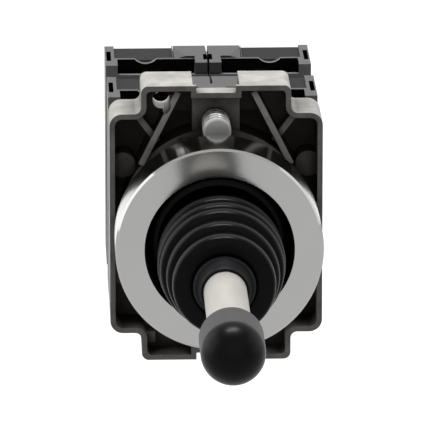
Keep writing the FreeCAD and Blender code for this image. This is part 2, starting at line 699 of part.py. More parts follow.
def make_knob():
    """Cylindrical knob with a round front, screwed on the shaft's stud."""
    dome_at = -(d.knob_to - d.knob_radius)
    edge = -d.knob_from - d.knob_edge
    pieces = [
        cone_bar("knob_edge_cone", (d.knob_radius, d.knob_radius - d.knob_edge),
                 (edge, -d.knob_from)),
        round_bar("knob_barrel", "y", d.knob_radius, (dome_at, edge)),
        ball("knob_dome", d.knob_radius, y=dome_at),
    ]
    hole_end = -(d.knob_from + d.knob_stud_length + d.neck_gap)
    hole = round_bar("knob_hole", "y", d.knob_stud_radius + d.seat_gap,
                     (hole_end, -d.knob_from + OVER))
    return node(carve("knob", join("knob_solid", pieces), [hole]), "knob")


# Fixing collar, its clamp screw and its locating pin

COLLAR_REAR = d.collar_front + d.collar_depth
COLLAR_FLOOR = COLLAR_REAR - d.collar_floor
SHOULDER = d.collar_half_height - d.lobe_rise
LOBE = d.collar_half_width - d.shoulder_width
NOTCH_FLOOR = d.collar_half_height - d.notch_depth
SCREW_HEIGHT = d.barrel_radius + d.screw_stand
PIN_RADIUS_OUT = d.barrel_radius + d.locating_pin_step
PIN_PLACE = (-sine(d.locating_pin_angle) * PIN_RADIUS_OUT, cosine(d.locating_pin_angle) * PIN_RADIUS_OUT)
HUB_BORE = d.barrel_radius + d.hub_gap
HUB_RADIUS = HUB_BORE + d.hub_wall
BLOCK_FRONT = d.barrel_length + d.stack_gap


def collar_corners(inset):
    """Corners of the collar's outline, all moved inwards by the inset."""
    notch = d.notch_half_width + inset
    top = d.collar_half_height - inset
    step = top - d.notch_depth
    lobe = LOBE - inset
    shoulder = SHOULDER - inset
    side = d.collar_half_width - inset
    quarter = [(notch, step), (notch, top), (lobe, top), (lobe, shoulder), (side, shoulder)]
    right = quarter + [(x, -z) for x, z in reversed(quarter)]
    left = [(-x, z) for x, z in reversed(right)]
    return right + left


def make_collar_shell():
    """Open tray: the lobed outline padded to full depth and hollowed from the front."""
    body = DOC.addObject("PartDesign::Body", "collar_shell")
    outline = outline_sketch(body, "XZ_Plane", "collar_outline", collar_corners(as_term(0)))
    tie(outline, "AttachmentOffset.Base.z", -COLLAR_REAR)
    pad = body.newObject("PartDesign::Pad", "collar_pad")
    pad.Profile = outline
    tie(pad, "Length", d.collar_depth)
    body.Tip = pad
    last = pad
    side = d.collar_half_width
    top = d.collar_half_height
    last = round_edges(body, last, "collar_corner_rounds", d.corner_round, four_ways(side, SHOULDER))
    last = round_edges(body, last, "collar_lobe_rounds", d.lobe_round, four_ways(LOBE, top))
    round_edges(body, last, "collar_inside_rounds", d.inside_round, four_ways(LOBE, SHOULDER))
    wall = d.collar_wall
    hollow = outline_sketch(body, "XZ_Plane", "collar_hollow", collar_corners(wall))
    tie(hollow, "AttachmentOffset.Base.z", -COLLAR_FLOOR)
    pocket = body.newObject("PartDesign::Pocket", "collar_pocket")
    pocket.Profile = hollow
    pocket.Reversed = True
    tie(pocket, "Length", d.collar_depth)
    body.Tip = pocket
    last = pocket
    last = round_edges(body, last, "hollow_corner_rounds", d.corner_round - wall,
                       four_ways(side - wall, SHOULDER - wall))
    last = round_edges(body, last, "hollow_lobe_rounds", d.hollow_lobe_round,
                       four_ways(LOBE - wall, top - wall))
    round_edges(body, last, "hollow_inside_rounds", d.inside_round + wall,
                four_ways(LOBE - wall, SHOULDER - wall))
    return body


def collar_ribs(side, name):
    """A long rib beside the notch and a short one from the concave corner, on one side."""
    rear = COLLAR_FLOOR + d.collar_floor / 2
    lean = 90 - side * (90 - d.rib_angle)
    brace_lean = 90 + side * (90 - d.brace_angle)
    brace_up = SHOULDER - d.collar_wall / 2
    return [
        leaning_bar(f"long_rib_{name}", side * d.rib_start_out, d.collar_half_height - d.rib_drop,
                    lean, d.rib_length, d.rib_thickness, (d.rib_front, rear)),
        leaning_bar(f"short_rib_{name}", side * (LOBE + d.collar_wall), brace_up,
                    brace_lean, d.brace_length, d.rib_thickness,
                    (d.rib_front + d.rib_thickness, rear)),
    ]


def collar_shelf(side, level, name):
    """Raised floor of one lobe."""
    wall = d.collar_wall / 2
    inner = d.notch_half_width + wall
    outer = LOBE - wall
    low = SHOULDER - d.shelf_drop
    high = d.collar_half_height - wall
    across = (inner, outer) if side > 0 else (-outer, -inner)
    upright = (low, high) if level > 0 else (-high, -low)
    return brick(f"shelf_{name}", across, (d.shelf_front, COLLAR_REAR), upright)


def collar_pad(side, level, name):
    """Round boss between the hub and the side wall."""
    return round_bar(f"pad_{name}", "y", d.pad_radius, (d.pad_front, COLLAR_REAR),
                     x=side * (d.collar_half_width - d.pad_inset), z=level * d.pad_up)


def make_collar():
    """Cast fixing collar: shell, hub, screw boss, ribs, raised floors and bosses."""
    boss = d.boss_half_width
    boss_top = NOTCH_FLOOR - d.collar_wall / 2
    hub = DOC.addObject("Part::Common", "hub_within_sides")
    hub.Base = round_bar("collar_hub", "y", HUB_RADIUS, (d.hub_front, COLLAR_REAR))
    hub.Tool = brick("hub_limits", (-d.collar_half_width, d.collar_half_width),
                     (d.hub_front, COLLAR_REAR), (-SHOULDER, SHOULDER))
    pieces = [
        make_collar_shell(),
        hub,
        brick("screw_boss", (-boss, boss), (d.boss_front, COLLAR_REAR), (HUB_BORE, boss_top)),
    ]
    for side, name in ((1, "right"), (-1, "left")):
        pieces += collar_ribs(side, name)
        pieces.append(round_bar(f"cup_{name}", "y", d.cup_radius, (d.shelf_front, COLLAR_REAR),
                                x=side * (LOBE - d.cup_inset), z=SHOULDER - d.cup_drop))
        for level, place in ((1, "upper"), (-1, "lower")):
            pieces.append(collar_shelf(side, level, f"{place}_{name}"))
            pieces.append(collar_pad(side, level, f"{place}_{name}"))
    half = d.block_step / 2
    x = -(LOBE - d.block_step_inset)
    z = -(d.collar_half_height - d.block_step_rise)
    pieces.append(brick("pocket_block", (x - half, x + half),
                        (d.hub_front + d.block_step / 2, COLLAR_FLOOR + d.collar_floor / 2),
                        (z - half, z + half)))
    inside = carve("collar_inside", join("collar_joined", pieces), collar_cuts())
    return node(inside, "fixing_collar")


def collar_cuts():
    """Barrel bore, rear seat of the contact blocks, screw hole and its access, small holes."""
    front = d.collar_front
    rear = COLLAR_REAR + OVER
    through = (front - OVER, rear)
    seat = BLOCK_SIDE - d.nose_inset + d.seat_gap
    seat_up = d.block_nose_half + d.seat_gap
    top = d.collar_half_height + OVER
    boss_top = SCREW_HEIGHT + d.screw_radius + d.screw_cover
    access = (-d.access_half_width, d.access_half_width)
    return [
        round_bar("hub_bore", "y", HUB_BORE, through),
        brick("block_seat", (-seat, seat), (BLOCK_FRONT - d.seat_gap, rear), (-seat_up, seat_up)),
        round_bar("clamp_thread", "y", d.screw_radius + d.running_gap, through, z=SCREW_HEIGHT),
        brick("access_sides", access, (front + d.access_from, rear), (NOTCH_FLOOR, top)),
        brick("access_top", access, (front + d.bridge_depth, rear), (boss_top, boss_top + top)),
        round_bar("drain_hole", "y", d.drain_radius, through, x=-(LOBE - d.drain_inset),
                  z=d.collar_half_height - d.drain_drop),
        round_bar("locating_pin_hole", "y", d.locating_pin_radius, through, x=PIN_PLACE[0],
                  z=PIN_PLACE[1]),
    ]


def make_locating_pin():
    start = d.locating_pin_front
    pin = round_bar("locating_pin", "y", d.locating_pin_radius,
                    (start, start + d.locating_pin_length), x=PIN_PLACE[0], z=PIN_PLACE[1])
    return node(pin, "locating_pin")


def make_clamp_screw():
    """Clamp screw with a tapered tip that presses on the panel's rear."""
    z = SCREW_HEIGHT
    taper_end = d.screw_tip + d.screw_tip_taper
    head_end = d.screw_head_from + d.screw_head_height
    cone_from = head_end - d.screw_head_cone
    head = d.screw_head_radius
    pieces = [
        cone_bar("clamp_tip", (d.screw_tip_radius, d.screw_radius), (d.screw_tip, taper_end), z=z),
        round_bar("clamp_shank", "y", d.screw_radius, (taper_end, d.screw_head_from), z=z),
        round_bar("clamp_head", "y", head, (d.screw_head_from, cone_from), z=z),
        cone_bar("clamp_head_end", (head, head - d.screw_head_narrowing), (cone_from, head_end), z=z),
    ]
    reach = head + OVER
    slot = brick("clamp_slot", (-reach, reach), (head_end - d.screw_slot_depth, head_end + OVER),
                 (z - d.screw_slot_width / 2, z + d.screw_slot_width / 2))
    return node(carve("clamp_screw", join("clamp_solid", pieces), [slot]), "clamp_screw")


# Contact blocks

BLOCK_SIDE = d.collar_half_width - d.block_grid_gap
BLOCK_PITCH = d.block_depth + d.stack_gap
LAYERS = {"front": BLOCK_FRONT, "rear": BLOCK_FRONT + BLOCK_PITCH}
SIDES = {"left": -1, "right": 1}
CHAMBER_FRONT = d.recess_front + d.wall_front
CHAMBER_REAR = d.block_depth - d.recess_rear - d.wall_rear
CHAMBER_SIDE = BLOCK_SIDE - d.chamber_side_wall
WIRE_FLOOR = d.block_half - d.terminal_depth
CHAMBER_HALF = WIRE_FLOOR - d.terminal_floor
TERMINAL_OUT = BLOCK_SIDE - d.terminal_inset
TERMINAL_UP = d.block_half - d.terminal_drop
LATCH_FLOOR = d.block_half - d.latch_sink
CONTACT_FACE = d.wire_rear - d.button_height
BRIDGE_HALF = CHAMBER_HALF - d.bridge_end_gap
BUTTON_HALF = BRIDGE_HALF - d.bridge_lap
OPEN_GAP = d.rod_travel + d.contact_spare
BRIDGE_FRONT = CONTACT_FACE - OPEN_GAP - d.button_height - d.bridge_thickness


def rod_places():
    """Push rod axes as (x, z): left, right, up, down."""
    zero = as_term(0)
    return [(-d.rod_offset, zero), (d.rod_offset, zero), (zero, d.rod_offset), (zero, -d.rod_offset)]


class Block:
    """Makes pieces of one contact block from the sizes of a block on the right side."""

    def __init__(self, layer, side):
        self.name = f"{layer}_{side}"
        self.front = LAYERS[layer]
        self.sign = SIDES[side]

    def across(self, low, high):
        low = as_term(low)
        high = as_term(high)
        return (low, high) if self.sign > 0 else (-high, -low)

    def along(self, low, high):
        return (self.front + low, self.front + high)

    def upright(self, level, low, high):
        return (low, high) if level > 0 else (-as_term(high), -as_term(low))

    def brick(self, name, x_span, y_span, z_span, level=1):
        return brick(f"{self.name}_{name}", self.across(*x_span), self.along(*y_span),
                     self.upright(level, *z_span))

    def bar(self, name, radius, y_span, x, z=0):
        return round_bar(f"{self.name}_{name}", "y", radius, self.along(*y_span),
                         x=self.sign * as_term(x), z=z)


LEVELS = ((1, "top"), (-1, "bottom"))


def around(centre, half):
    """Span of the given half width about a place."""
    return (centre - half, centre + half)


def housing_cuts(block):
    """Contact chamber, recesses for the transfer arms, seats of the cover and the latch."""
    depth = d.block_depth
    seam = d.block_seam
    top = d.block_half + OVER
    side = BLOCK_SIDE
    cover_inside = side - d.cover_thickness
    recess = around(0, d.recess_half)
    chamber = around(0, CHAMBER_HALF)
    cover = around(0, CHAMBER_HALF + d.cover_margin + d.seat_gap)
    channel = (LATCH_FLOOR - d.latch_gap, top)
    return [
        block.brick("front_recess", (seam - OVER, d.recess_side), (-OVER, d.recess_front), recess),
        block.brick("rear_recess", (seam - OVER, d.recess_side),
                    (depth - d.recess_rear, depth + OVER), recess),
        block.bar("rod_hole", d.groove_radius, (d.recess_front - OVER, CHAMBER_FRONT + OVER),
                  d.rod_offset),
        block.brick("chamber", (d.chamber_side_in, CHAMBER_SIDE), (CHAMBER_FRONT, CHAMBER_REAR),
                    chamber),
        block.brick("chamber_side", (CHAMBER_SIDE - OVER, cover_inside + OVER),
                    (d.cover_front + d.cover_margin, CHAMBER_REAR), chamber),
        block.brick("cover_seat", (cover_inside, side + OVER),
                    (d.cover_front - d.seat_gap, depth - d.cover_rear_wall), cover),
        block.brick("tongue_channel", (seam - OVER, d.latch_tongue_side + d.latch_gap),
                    (d.block_shoulder - OVER, d.latch_wide_from), channel),
        block.brick("latch_channel", (seam - OVER, d.latch_side_out + d.latch_gap),
                    (d.latch_wide_from - d.latch_gap, depth + OVER), channel),
        block.brick("slot_floor", (seam - OVER, d.seam_slot_side),
                    (d.seam_slot_front, d.seam_slot_rear), (d.block_half - d.seam_slot_depth, top)),
    ]


def terminal_cuts(block, level, place):
    """Wire entry, inset panel, edge pocket, scoop and screw access on the top or the bottom."""
    depth = d.block_depth
    half = d.block_half
    top = half + OVER
    side = BLOCK_SIDE
    wire = (d.wire_side_in, side - d.wire_side_wall)
    strip = (d.wire_rear - OVER, d.wire_rear + d.strip_thickness + d.seat_gap)
    outer = side - d.edge_wall
    return [
        block.bar(f"rod_groove_{place}", d.groove_radius, (-OVER, depth + OVER), 0,
                  z=level * d.rod_offset),
        block.brick(f"wire_entry_{place}", wire, (d.wire_front, d.wire_rear), (WIRE_FLOOR, top),
                    level),
        block.brick(f"sill_{place}", wire, (d.block_shoulder - OVER, d.wire_front + OVER),
                    (half - d.sill_drop, top), level),
        block.brick(f"inset_{place}", (d.inset_side_in, side - d.inset_margin),
                    (d.inset_front, depth + OVER), (half - d.inset_depth, top), level),
        block.brick(f"edge_pocket_{place}", (outer - d.edge_pocket_width, outer),
                    (d.edge_pocket_front, d.edge_pocket_rear), (half - d.edge_pocket_depth, top),
                    level),
        block.bar(f"scoop_{place}", d.scoop_radius, (d.wire_rear - OVER, d.inset_front + d.scoop_lap),
                  TERMINAL_OUT, z=level * (half + d.scoop_rise)),
        block.bar(f"screw_access_{place}", d.terminal_head_radius + d.access_gap,
                  (d.wire_rear + d.strip_thickness, depth + OVER), TERMINAL_OUT,
                  z=level * TERMINAL_UP),
        block.brick(f"strip_slot_{place}", around(d.rod_offset, d.strip_half_width + d.seat_gap),
                    strip, (CHAMBER_HALF - OVER, WIRE_FLOOR + OVER), level),
        block.brick(f"tab_slot_{place}", around(TERMINAL_OUT, d.tab_half_width + d.seat_gap),
                    strip, (WIRE_FLOOR, half - d.strip_end_drop + d.seat_gap), level),
    ]


def make_housing(block):
    """Moulded housing: nose, terminal part, contact chamber, wire entries and channels."""
    seam = d.block_seam
    solid = join(f"{block.name}_solid", [
        block.brick("nose", (seam, BLOCK_SIDE - d.nose_inset), (0, d.block_shoulder),
                    around(0, d.block_nose_half)),
        block.brick("terminals", (seam, BLOCK_SIDE), (d.block_shoulder, d.block_depth),
                    around(0, d.block_half)),
        block.brick("seam_key", (d.seat_gap - seam, seam + OVER), (d.key_front, d.key_rear),
                    (d.block_half - d.key_low, d.block_half - d.key_high), -block.sign),
    ])
    cuts = housing_cuts(block)
    for level, place in LEVELS:
        cuts += terminal_cuts(block, level, place)
    return node(carve(f"{block.name}_housing", solid, cuts), f"{block.name}_housing")


def make_cover(block):
    """Flat side cover that closes the contact chamber."""
    rear = d.block_depth - d.cover_rear_wall - d.seat_gap
    plate = block.brick("cover", (BLOCK_SIDE - d.cover_thickness, BLOCK_SIDE),
                        (d.cover_front, rear), around(0, CHAMBER_HALF + d.cover_margin))
    return node(plate, f"{block.name}_cover")


def make_latch(block):
    """Sliding latch on the block's top: a narrow tongue and a wide thumb part with a step."""
    top = d.block_half + d.latch_rise
    level = (LATCH_FLOOR, top)
    tongue = block.brick("latch_tongue", (d.latch_side_in, d.latch_tongue_side),
                         (d.latch_front, d.latch_wide_from + OVER), level)
    wide = block.brick("latch_wide", (d.latch_side_in, d.latch_side_out),
                       (d.latch_wide_from, d.block_depth), level)
    slot = block.brick("seam_slot", (-OVER, d.seam_slot_side), (d.seam_slot_front, d.seam_slot_rear),
                       (LATCH_FLOOR - OVER, top + OVER))
    step = block.brick("latch_step", (-OVER, d.latch_side_out + OVER),
                       (d.block_depth - d.latch_step_length, d.block_depth + OVER),
                       (top - d.latch_step, top + OVER))
    solid = join(f"{block.name}_latch_solid", [tongue, wide])
    return node(carve(f"{block.name}_latch", solid, [slot, step, latch_facet(block, top)]),
                f"{block.name}_latch")


def latch_facet(block, top):
    """Tool that slopes a latch's front outer corner down to the side."""
    size = d.facet_size
    reach = size if block.sign > 0 else as_term(OVER)
    tool = DOC.addObject("Part::Box", f"{block.name}_latch_facet")
    heading = Rotation(Vector(0, 0, 1), 180 + block.sign * d.facet_turn.value)
    tilt = Rotation(Vector(1, 0, 0), -d.facet_tilt.value)
    tool.Placement = Placement(Vector(0, 0, 0), heading * tilt)
    tie(tool, "Length", size + OVER)
    tie(tool, "Width", size)
    tie(tool, "Height", size)
    start_out = block.sign * (d.latch_side_out - d.facet_inset)
    tie(tool, "Placement.Base.x", start_out + cosine(d.facet_turn) * reach)
    tie(tool, "Placement.Base.y", block.front + d.latch_wide_from + block.sign * sine(d.facet_turn) * reach)
    tie(tool, "Placement.Base.z", top)
    return tool


def make_plunger(block):
    """Square plunger with a window for the contact bridge."""
    gap = d.seat_gap
    height = d.plunger_half_height
    solid = block.brick("plunger_bar", around(d.rod_offset, d.plunger_half_width),
                        (d.plunger_front, d.plunger_rear), around(0, height))
    window = block.brick("plunger_window", around(d.rod_offset, d.bridge_half_width + gap),
                         (BRIDGE_FRONT - gap, BRIDGE_FRONT + d.bridge_thickness + gap),
                         around(0, height + OVER))
    return node(carve(f"{block.name}_plunger", solid, [window]), f"{block.name}_plunger")


def make_bridge(block):
    """Moving contact: a strip with a button at each end."""
    back = BRIDGE_FRONT + d.bridge_thickness
    pieces = [block.brick("bridge_strip", around(d.rod_offset, d.bridge_half_width),
                          (BRIDGE_FRONT, back), around(0, BRIDGE_HALF))]
    for level, place in LEVELS:
        pieces.append(block.bar(f"bridge_button_{place}", d.button_radius,
                                (BRIDGE_FRONT, back + d.button_height), d.rod_offset,
                                z=level * BUTTON_HALF))
    return node(join(f"{block.name}_bridge", pieces), f"{block.name}_bridge")


def fixed_contact(block, level, place):
    """Strip with a button inside the chamber and a terminal tab in the wire entry."""
    span = (d.wire_rear, d.wire_rear + d.strip_thickness)
    bar = join(f"{block.name}_bar_{place}", [
        block.brick(f"strip_{place}", around(d.rod_offset, d.strip_half_width), span,
                    (BUTTON_HALF - d.strip_lap, WIRE_FLOOR + OVER), level),
        block.brick(f"tab_{place}", around(TERMINAL_OUT, d.tab_half_width), span,
                    (WIRE_FLOOR + d.seat_gap, d.block_half - d.strip_end_drop), level),
        block.bar(f"button_{place}", d.button_radius, (CONTACT_FACE, span[1]), d.rod_offset,
                  z=level * BUTTON_HALF),
    ])
    hole = block.bar(f"tab_hole_{place}", d.terminal_thread_radius + d.seat_gap,
                     (span[0] - OVER, span[1] + OVER), TERMINAL_OUT, z=level * TERMINAL_UP)
    return carve(f"{block.name}_contact_{place}", bar, [hole])


def make_contacts(block):
    pieces = [fixed_contact(block, level, place) for level, place in LEVELS]
    return node(join(f"{block.name}_contacts", pieces), f"{block.name}_contacts")


def make_return_spring(block):
    start = block.front.value + d.plunger_rear.value
    end = block.front.value + CHAMBER_REAR.value
    return coil(f"{block.name}_spring", d.return_coil_radius.value, d.return_wire_radius.value,
                d.return_turns.value, (start + d.seat_gap.value, end - d.seat_gap.value),
                x=block.sign * d.rod_offset.value)


def terminal_screw(block, level, place):
    head_from = d.wire_rear + d.strip_thickness
    head_to = head_from + d.terminal_head_height
    head = d.terminal_head_radius
    z = level * TERMINAL_UP
    solid = join(f"{block.name}_screw_solid_{place}", [
        block.bar(f"thread_{place}", d.terminal_thread_radius,
                  (d.wire_front + d.clamp_front_gap, head_from + OVER), TERMINAL_OUT, z=z),
        block.bar(f"head_{place}", head, (head_from, head_to), TERMINAL_OUT, z=z),
    ])
    slot = brick(f"{block.name}_screw_slot_{place}",
                 block.across(TERMINAL_OUT - head - OVER, TERMINAL_OUT + head + OVER),
                 block.along(head_to - d.terminal_slot, head_to + OVER),
                 around(z, d.terminal_slot / 2))
    return carve(f"{block.name}_screw_{place}", solid, [slot])


def terminal_clamp(block, level, place):
    """Plate that the screw pulls against the wire."""
    front = d.wire_front + d.clamp_front_gap
    span = (front, front + d.clamp_thickness)
    floor = WIRE_FLOOR + d.seat_gap
    plate = block.brick(f"clamp_plate_{place}", around(TERMINAL_OUT, d.clamp_half_width), span,
                        (floor, floor + d.clamp_length), level)
    hole = block.bar(f"clamp_hole_{place}", d.terminal_thread_radius + d.seat_gap,
                     (span[0] - OVER, span[1] + OVER), TERMINAL_OUT, z=level * TERMINAL_UP)
    return carve(f"{block.name}_clamp_{place}", plate, [hole])


def make_blocks():
    screws = []
    clamps = []
    for layer in LAYERS:
        for side in SIDES:
            block = Block(layer, side)
            make_housing(block)
            make_cover(block)
            make_latch(block)
            make_plunger(block)
            make_bridge(block)
            make_contacts(block)
            make_return_spring(block)
            for level, place in LEVELS:
                screws.append(terminal_screw(block, level, place))
                clamps.append(terminal_clamp(block, level, place))
    node(join("terminal_screws", screws), "terminal_screws")
    node(join("terminal_clamps", clamps), "terminal_clamps")


# Push rods

ROD_NOSE = d.pivot_at + d.plate_rear + d.rod_gap


def make_short_rods():
    """Round-nosed rods on the left and right that push the front blocks' plungers."""
    end = LAYERS["front"] + d.plunger_front
    for name, x in (("left", -d.rod_offset), ("right", d.rod_offset)):
        nose = ROD_NOSE + d.rod_radius
        rod = join(f"push_rod_{name}", [
            ball(f"{name}_nose", d.rod_radius, x=x, y=nose),
            round_bar(f"{name}_rod", "y", d.rod_radius, (nose, end), x=x),
        ])
        node(rod, f"push_rod_{name}")


def make_long_rods():
    """Rods above and below that run between the front blocks to a transfer arm."""
    arm_front = LAYERS["rear"] + d.arm_front
    arm_rear = arm_front + d.arm_thickness
    plunger = LAYERS["rear"] + d.plunger_front
    diagonal = d.rod_offset / sine(as_term(45))
    for name, level, side, lean in (("up", 1, -1, 135), ("down", -1, 1, -45)):
        z = level * d.rod_offset
        x = side * d.rod_offset
        nose = ROD_NOSE + d.rod_radius
        rod = join(f"push_rod_{name}", [
            ball(f"{name}_nose", d.rod_radius, y=nose, z=z),
            round_bar(f"{name}_rod", "y", d.rod_radius, (nose, arm_rear), z=z),
            round_bar(f"{name}_arm_root", "y", d.arm_half_width, (arm_front, arm_rear), z=z),
            leaning_bar(f"{name}_arm", as_term(0), z, as_term(lean), diagonal,
                        2 * d.arm_half_width, (arm_front, arm_rear)),
            round_bar(f"{name}_arm_end", "y", d.arm_half_width, (arm_front, arm_rear), x=x),
            round_bar(f"{name}_pusher", "y", d.rod_radius, (arm_front, plunger), x=x),
        ])
        node(rod, f"push_rod_{name}")


def check_document():
    """Stop if any object failed or any sub-part isn't a valid solid."""
    for item in DOC.Objects:
        if "Invalid" in item.State or "Error" in item.State:
            raise RuntimeError(f"{item.Name} failed: {item.State}")
    for item in NODES:
        shape = item.Shape
        if shape.isNull() or not shape.isValid() or not shape.Solids:
            raise RuntimeError(f"{item.Label} has no valid solid")


def main():
    make_bezel()
    make_barrel()
    make_gasket()
    make_clamp_ring()
    make_boot()
    make_guide()
    make_clip()
    make_centring_spring()
    make_gimbal()
    make_lever()
    make_actuator()
    make_knob()
    make_collar()
    make_locating_pin()
    make_clamp_screw()
    make_blocks()
    make_short_rods()
    make_long_rods()
    DOC.recompute()
    check_document()
    os.makedirs("parts", exist_ok=True)
    for item in NODES:
        item.Shape.exportStep(f"parts/{item.Label}.step")
        box = item.Shape.BoundBox
        print(item.Label, len(item.Shape.Solids), "solids", round(item.Shape.Volume, 1), "mm3",
              f"X {box.XMin:.2f} {box.XMax:.2f} Y {box.YMin:.2f} {box.YMax:.2f}",
              f"Z {box.ZMin:.2f} {box.ZMax:.2f}")


main()
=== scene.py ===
"""Looks of the panel-mounted joystick: camera, light, materials, boot, screw thread, springs and seam."""

import json
import math

import bmesh
import bpy
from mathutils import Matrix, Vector


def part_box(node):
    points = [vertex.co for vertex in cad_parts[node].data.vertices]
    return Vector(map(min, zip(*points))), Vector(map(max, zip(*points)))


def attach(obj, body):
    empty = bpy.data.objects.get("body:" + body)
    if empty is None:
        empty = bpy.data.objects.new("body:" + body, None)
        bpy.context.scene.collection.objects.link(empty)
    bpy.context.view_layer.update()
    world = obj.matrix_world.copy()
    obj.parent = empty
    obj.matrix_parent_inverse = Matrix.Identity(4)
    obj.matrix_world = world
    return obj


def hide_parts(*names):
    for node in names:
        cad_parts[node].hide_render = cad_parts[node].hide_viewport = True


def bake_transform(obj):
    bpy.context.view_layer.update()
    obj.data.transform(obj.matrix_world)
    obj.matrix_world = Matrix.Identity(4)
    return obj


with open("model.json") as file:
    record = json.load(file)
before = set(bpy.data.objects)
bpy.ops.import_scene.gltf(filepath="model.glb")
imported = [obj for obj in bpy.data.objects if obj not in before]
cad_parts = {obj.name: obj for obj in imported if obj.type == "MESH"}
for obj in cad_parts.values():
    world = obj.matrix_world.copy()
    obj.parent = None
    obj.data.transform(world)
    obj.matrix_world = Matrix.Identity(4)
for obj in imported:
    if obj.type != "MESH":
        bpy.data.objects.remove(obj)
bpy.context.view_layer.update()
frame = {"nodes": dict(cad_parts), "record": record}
NODES = frame["nodes"]
MM = 0.001


def node_reach(node):
    """A node's centre and its reach along Y, in metres."""
    corners = [node.matrix_world @ Vector(corner) for corner in node.bound_box]
    low = Vector([min(corner[axis] for corner in corners) for axis in range(3)])
    high = Vector([max(corner[axis] for corner in corners) for axis in range(3)])
    return (low + high) / 2, low.y, high.y


# Camera

# COLLAR_PX is where the centre of the collar's front falls in the picture, and PX_PER_MM the scale there.
IMAGE_PX = 430
PX_PER_MM = 7.09
COLLAR_PX = (216.25, 223.5)
CAMERA_AZIMUTH = math.radians(2.0)
CAMERA_ELEVATION = math.radians(15.4)
CAMERA_DISTANCE = 850 * MM
SENSOR_MM = 36.0
CLIP_REACH = (0.05, 20)


def make_camera():
    """Long lens above and slightly left of the lever, aimed to bring the collar to COLLAR_PX."""
    back = Vector((-math.sin(CAMERA_AZIMUTH) * math.cos(CAMERA_ELEVATION),
                   -math.cos(CAMERA_AZIMUTH) * math.cos(CAMERA_ELEVATION),
                   math.sin(CAMERA_ELEVATION)))
    right = Vector((math.cos(CAMERA_AZIMUTH), -math.sin(CAMERA_AZIMUTH), 0))
    up = back.cross(right)
    px = MM / PX_PER_MM
    half = IMAGE_PX / 2
    collar_centre = Vector((0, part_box("fixing_collar")[0].y, 0))
    aim = collar_centre - right * (COLLAR_PX[0] - half) * px + up * (COLLAR_PX[1] - half) * px
    data = bpy.data.cameras.new("camera")
    data.sensor_width = SENSOR_MM
    data.lens = SENSOR_MM * PX_PER_MM / MM * CAMERA_DISTANCE / IMAGE_PX
    data.clip_start, data.clip_end = CLIP_REACH
    camera = bpy.data.objects.new("camera", data)
    camera.location = aim + back * CAMERA_DISTANCE
    camera.rotation_mode = "QUATERNION"
    camera.rotation_quaternion = (-back).to_track_quat("-Z", "Y")
    bpy.context.scene.collection.objects.link(camera)
    bpy.context.scene.camera = camera


# Light, background and floor

# The world's light as (place, grey): the place runs from 0, straight down, to 1, straight up.
SKY_LOW = (0.45, 0.06)
SKY_HIGH = (1.0, 0.30)

# Name, place, aim, size and power of each lamp, in metres and watts.
LAMPS = [
    ("top_lamp", (-0.015, 0.14, 0.70), (0, 0.01, 0), (0.36, 0.15), 5.0),
    ("left_lamp", (-0.80, 0.20, 0.30), (0, 0.02, 0), (1.0, 0.8), 4.5),
    ("right_lamp", (0.85, 0.15, 0.35), (0, 0.02, 0), (1.0, 0.8), 2.0),
    ("front_lamp", (0.05, -0.85, 0.45), (0, 0, 0), (1.0, 0.8), 0.9),
]

FLOOR_HEIGHT = -50 * MM
FLOOR_REACH = 3.0
FLOOR_GREY = 0.30
FLOOR_GLOW = 0.8


def grey(level):
    return (level, level, level, 1)


def either(tree, *flags):
    """Output that is 1 where any of the flags is."""
    result = flags[0]
    for flag in flags[1:]:
        node = tree.nodes.new("ShaderNodeMath")
        node.operation = "MAXIMUM"
        tree.links.new(result, node.inputs[0])
        tree.links.new(flag, node.inputs[1])
        result = node.outputs[0]
    return result


def mixed(tree, factor, first, second):
    """The first shader where the factor is 0, the second where it is 1."""
    mix = tree.nodes.new("ShaderNodeMixShader")
    tree.links.new(factor, mix.inputs["Fac"])
    tree.links.new(first, mix.inputs[1])
    tree.links.new(second, mix.inputs[2])
    return mix.outputs[0]


def make_world():
    """White for the camera, for reflections and through glass; a soft studio grey as light."""
    world = bpy.data.worlds.new("studio")
    bpy.context.scene.world = world
    world.use_nodes = True
    tree = world.node_tree
    tree.nodes.clear()
    link = tree.links.new
    coord = tree.nodes.new("ShaderNodeTexCoord")
    split = tree.nodes.new("ShaderNodeSeparateXYZ")
    link(coord.outputs["Generated"], split.inputs[0])
    height = tree.nodes.new("ShaderNodeMapRange")
    height.inputs["From Min"].default_value = -1
    link(split.outputs["Z"], height.inputs["Value"])
    ramp = tree.nodes.new("ShaderNodeValToRGB")
    for element, (place, level) in zip(ramp.color_ramp.elements, (SKY_LOW, SKY_HIGH)):
        element.position = place
        element.color = grey(level)
    link(height.outputs[0], ramp.inputs["Fac"])
    light = tree.nodes.new("ShaderNodeBackground")
    link(ramp.outputs["Color"], light.inputs["Color"])
    white = tree.nodes.new("ShaderNodeBackground")
    white.inputs["Color"].default_value = grey(1)
    path = tree.nodes.new("ShaderNodeLightPath")
    seen = either(tree, path.outputs["Is Camera Ray"], path.outputs["Is Transmission Ray"],
                  path.outputs["Is Glossy Ray"])
    out = tree.nodes.new("ShaderNodeOutputWorld")
    link(mixed(tree, seen, light.outputs[0], white.outputs[0]), out.inputs["Surface"])


def area_light(name, place, aim, size, power):
    data = bpy.data.lights.new(name, "AREA")
    data.shape = "RECTANGLE"
    data.size, data.size_y = size
    data.energy = power
    lamp = bpy.data.objects.new(name, data)
    lamp.location = place
    lamp.rotation_mode = "QUATERNION"
    lamp.rotation_quaternion = (Vector(aim) - Vector(place)).to_track_quat("-Z", "Y")
    bpy.context.scene.collection.objects.link(lamp)


def make_lights():
    """A small strong lamp above, a broad one on each side and a weak one in front."""
    for lamp in LAMPS:
        area_light(*lamp)


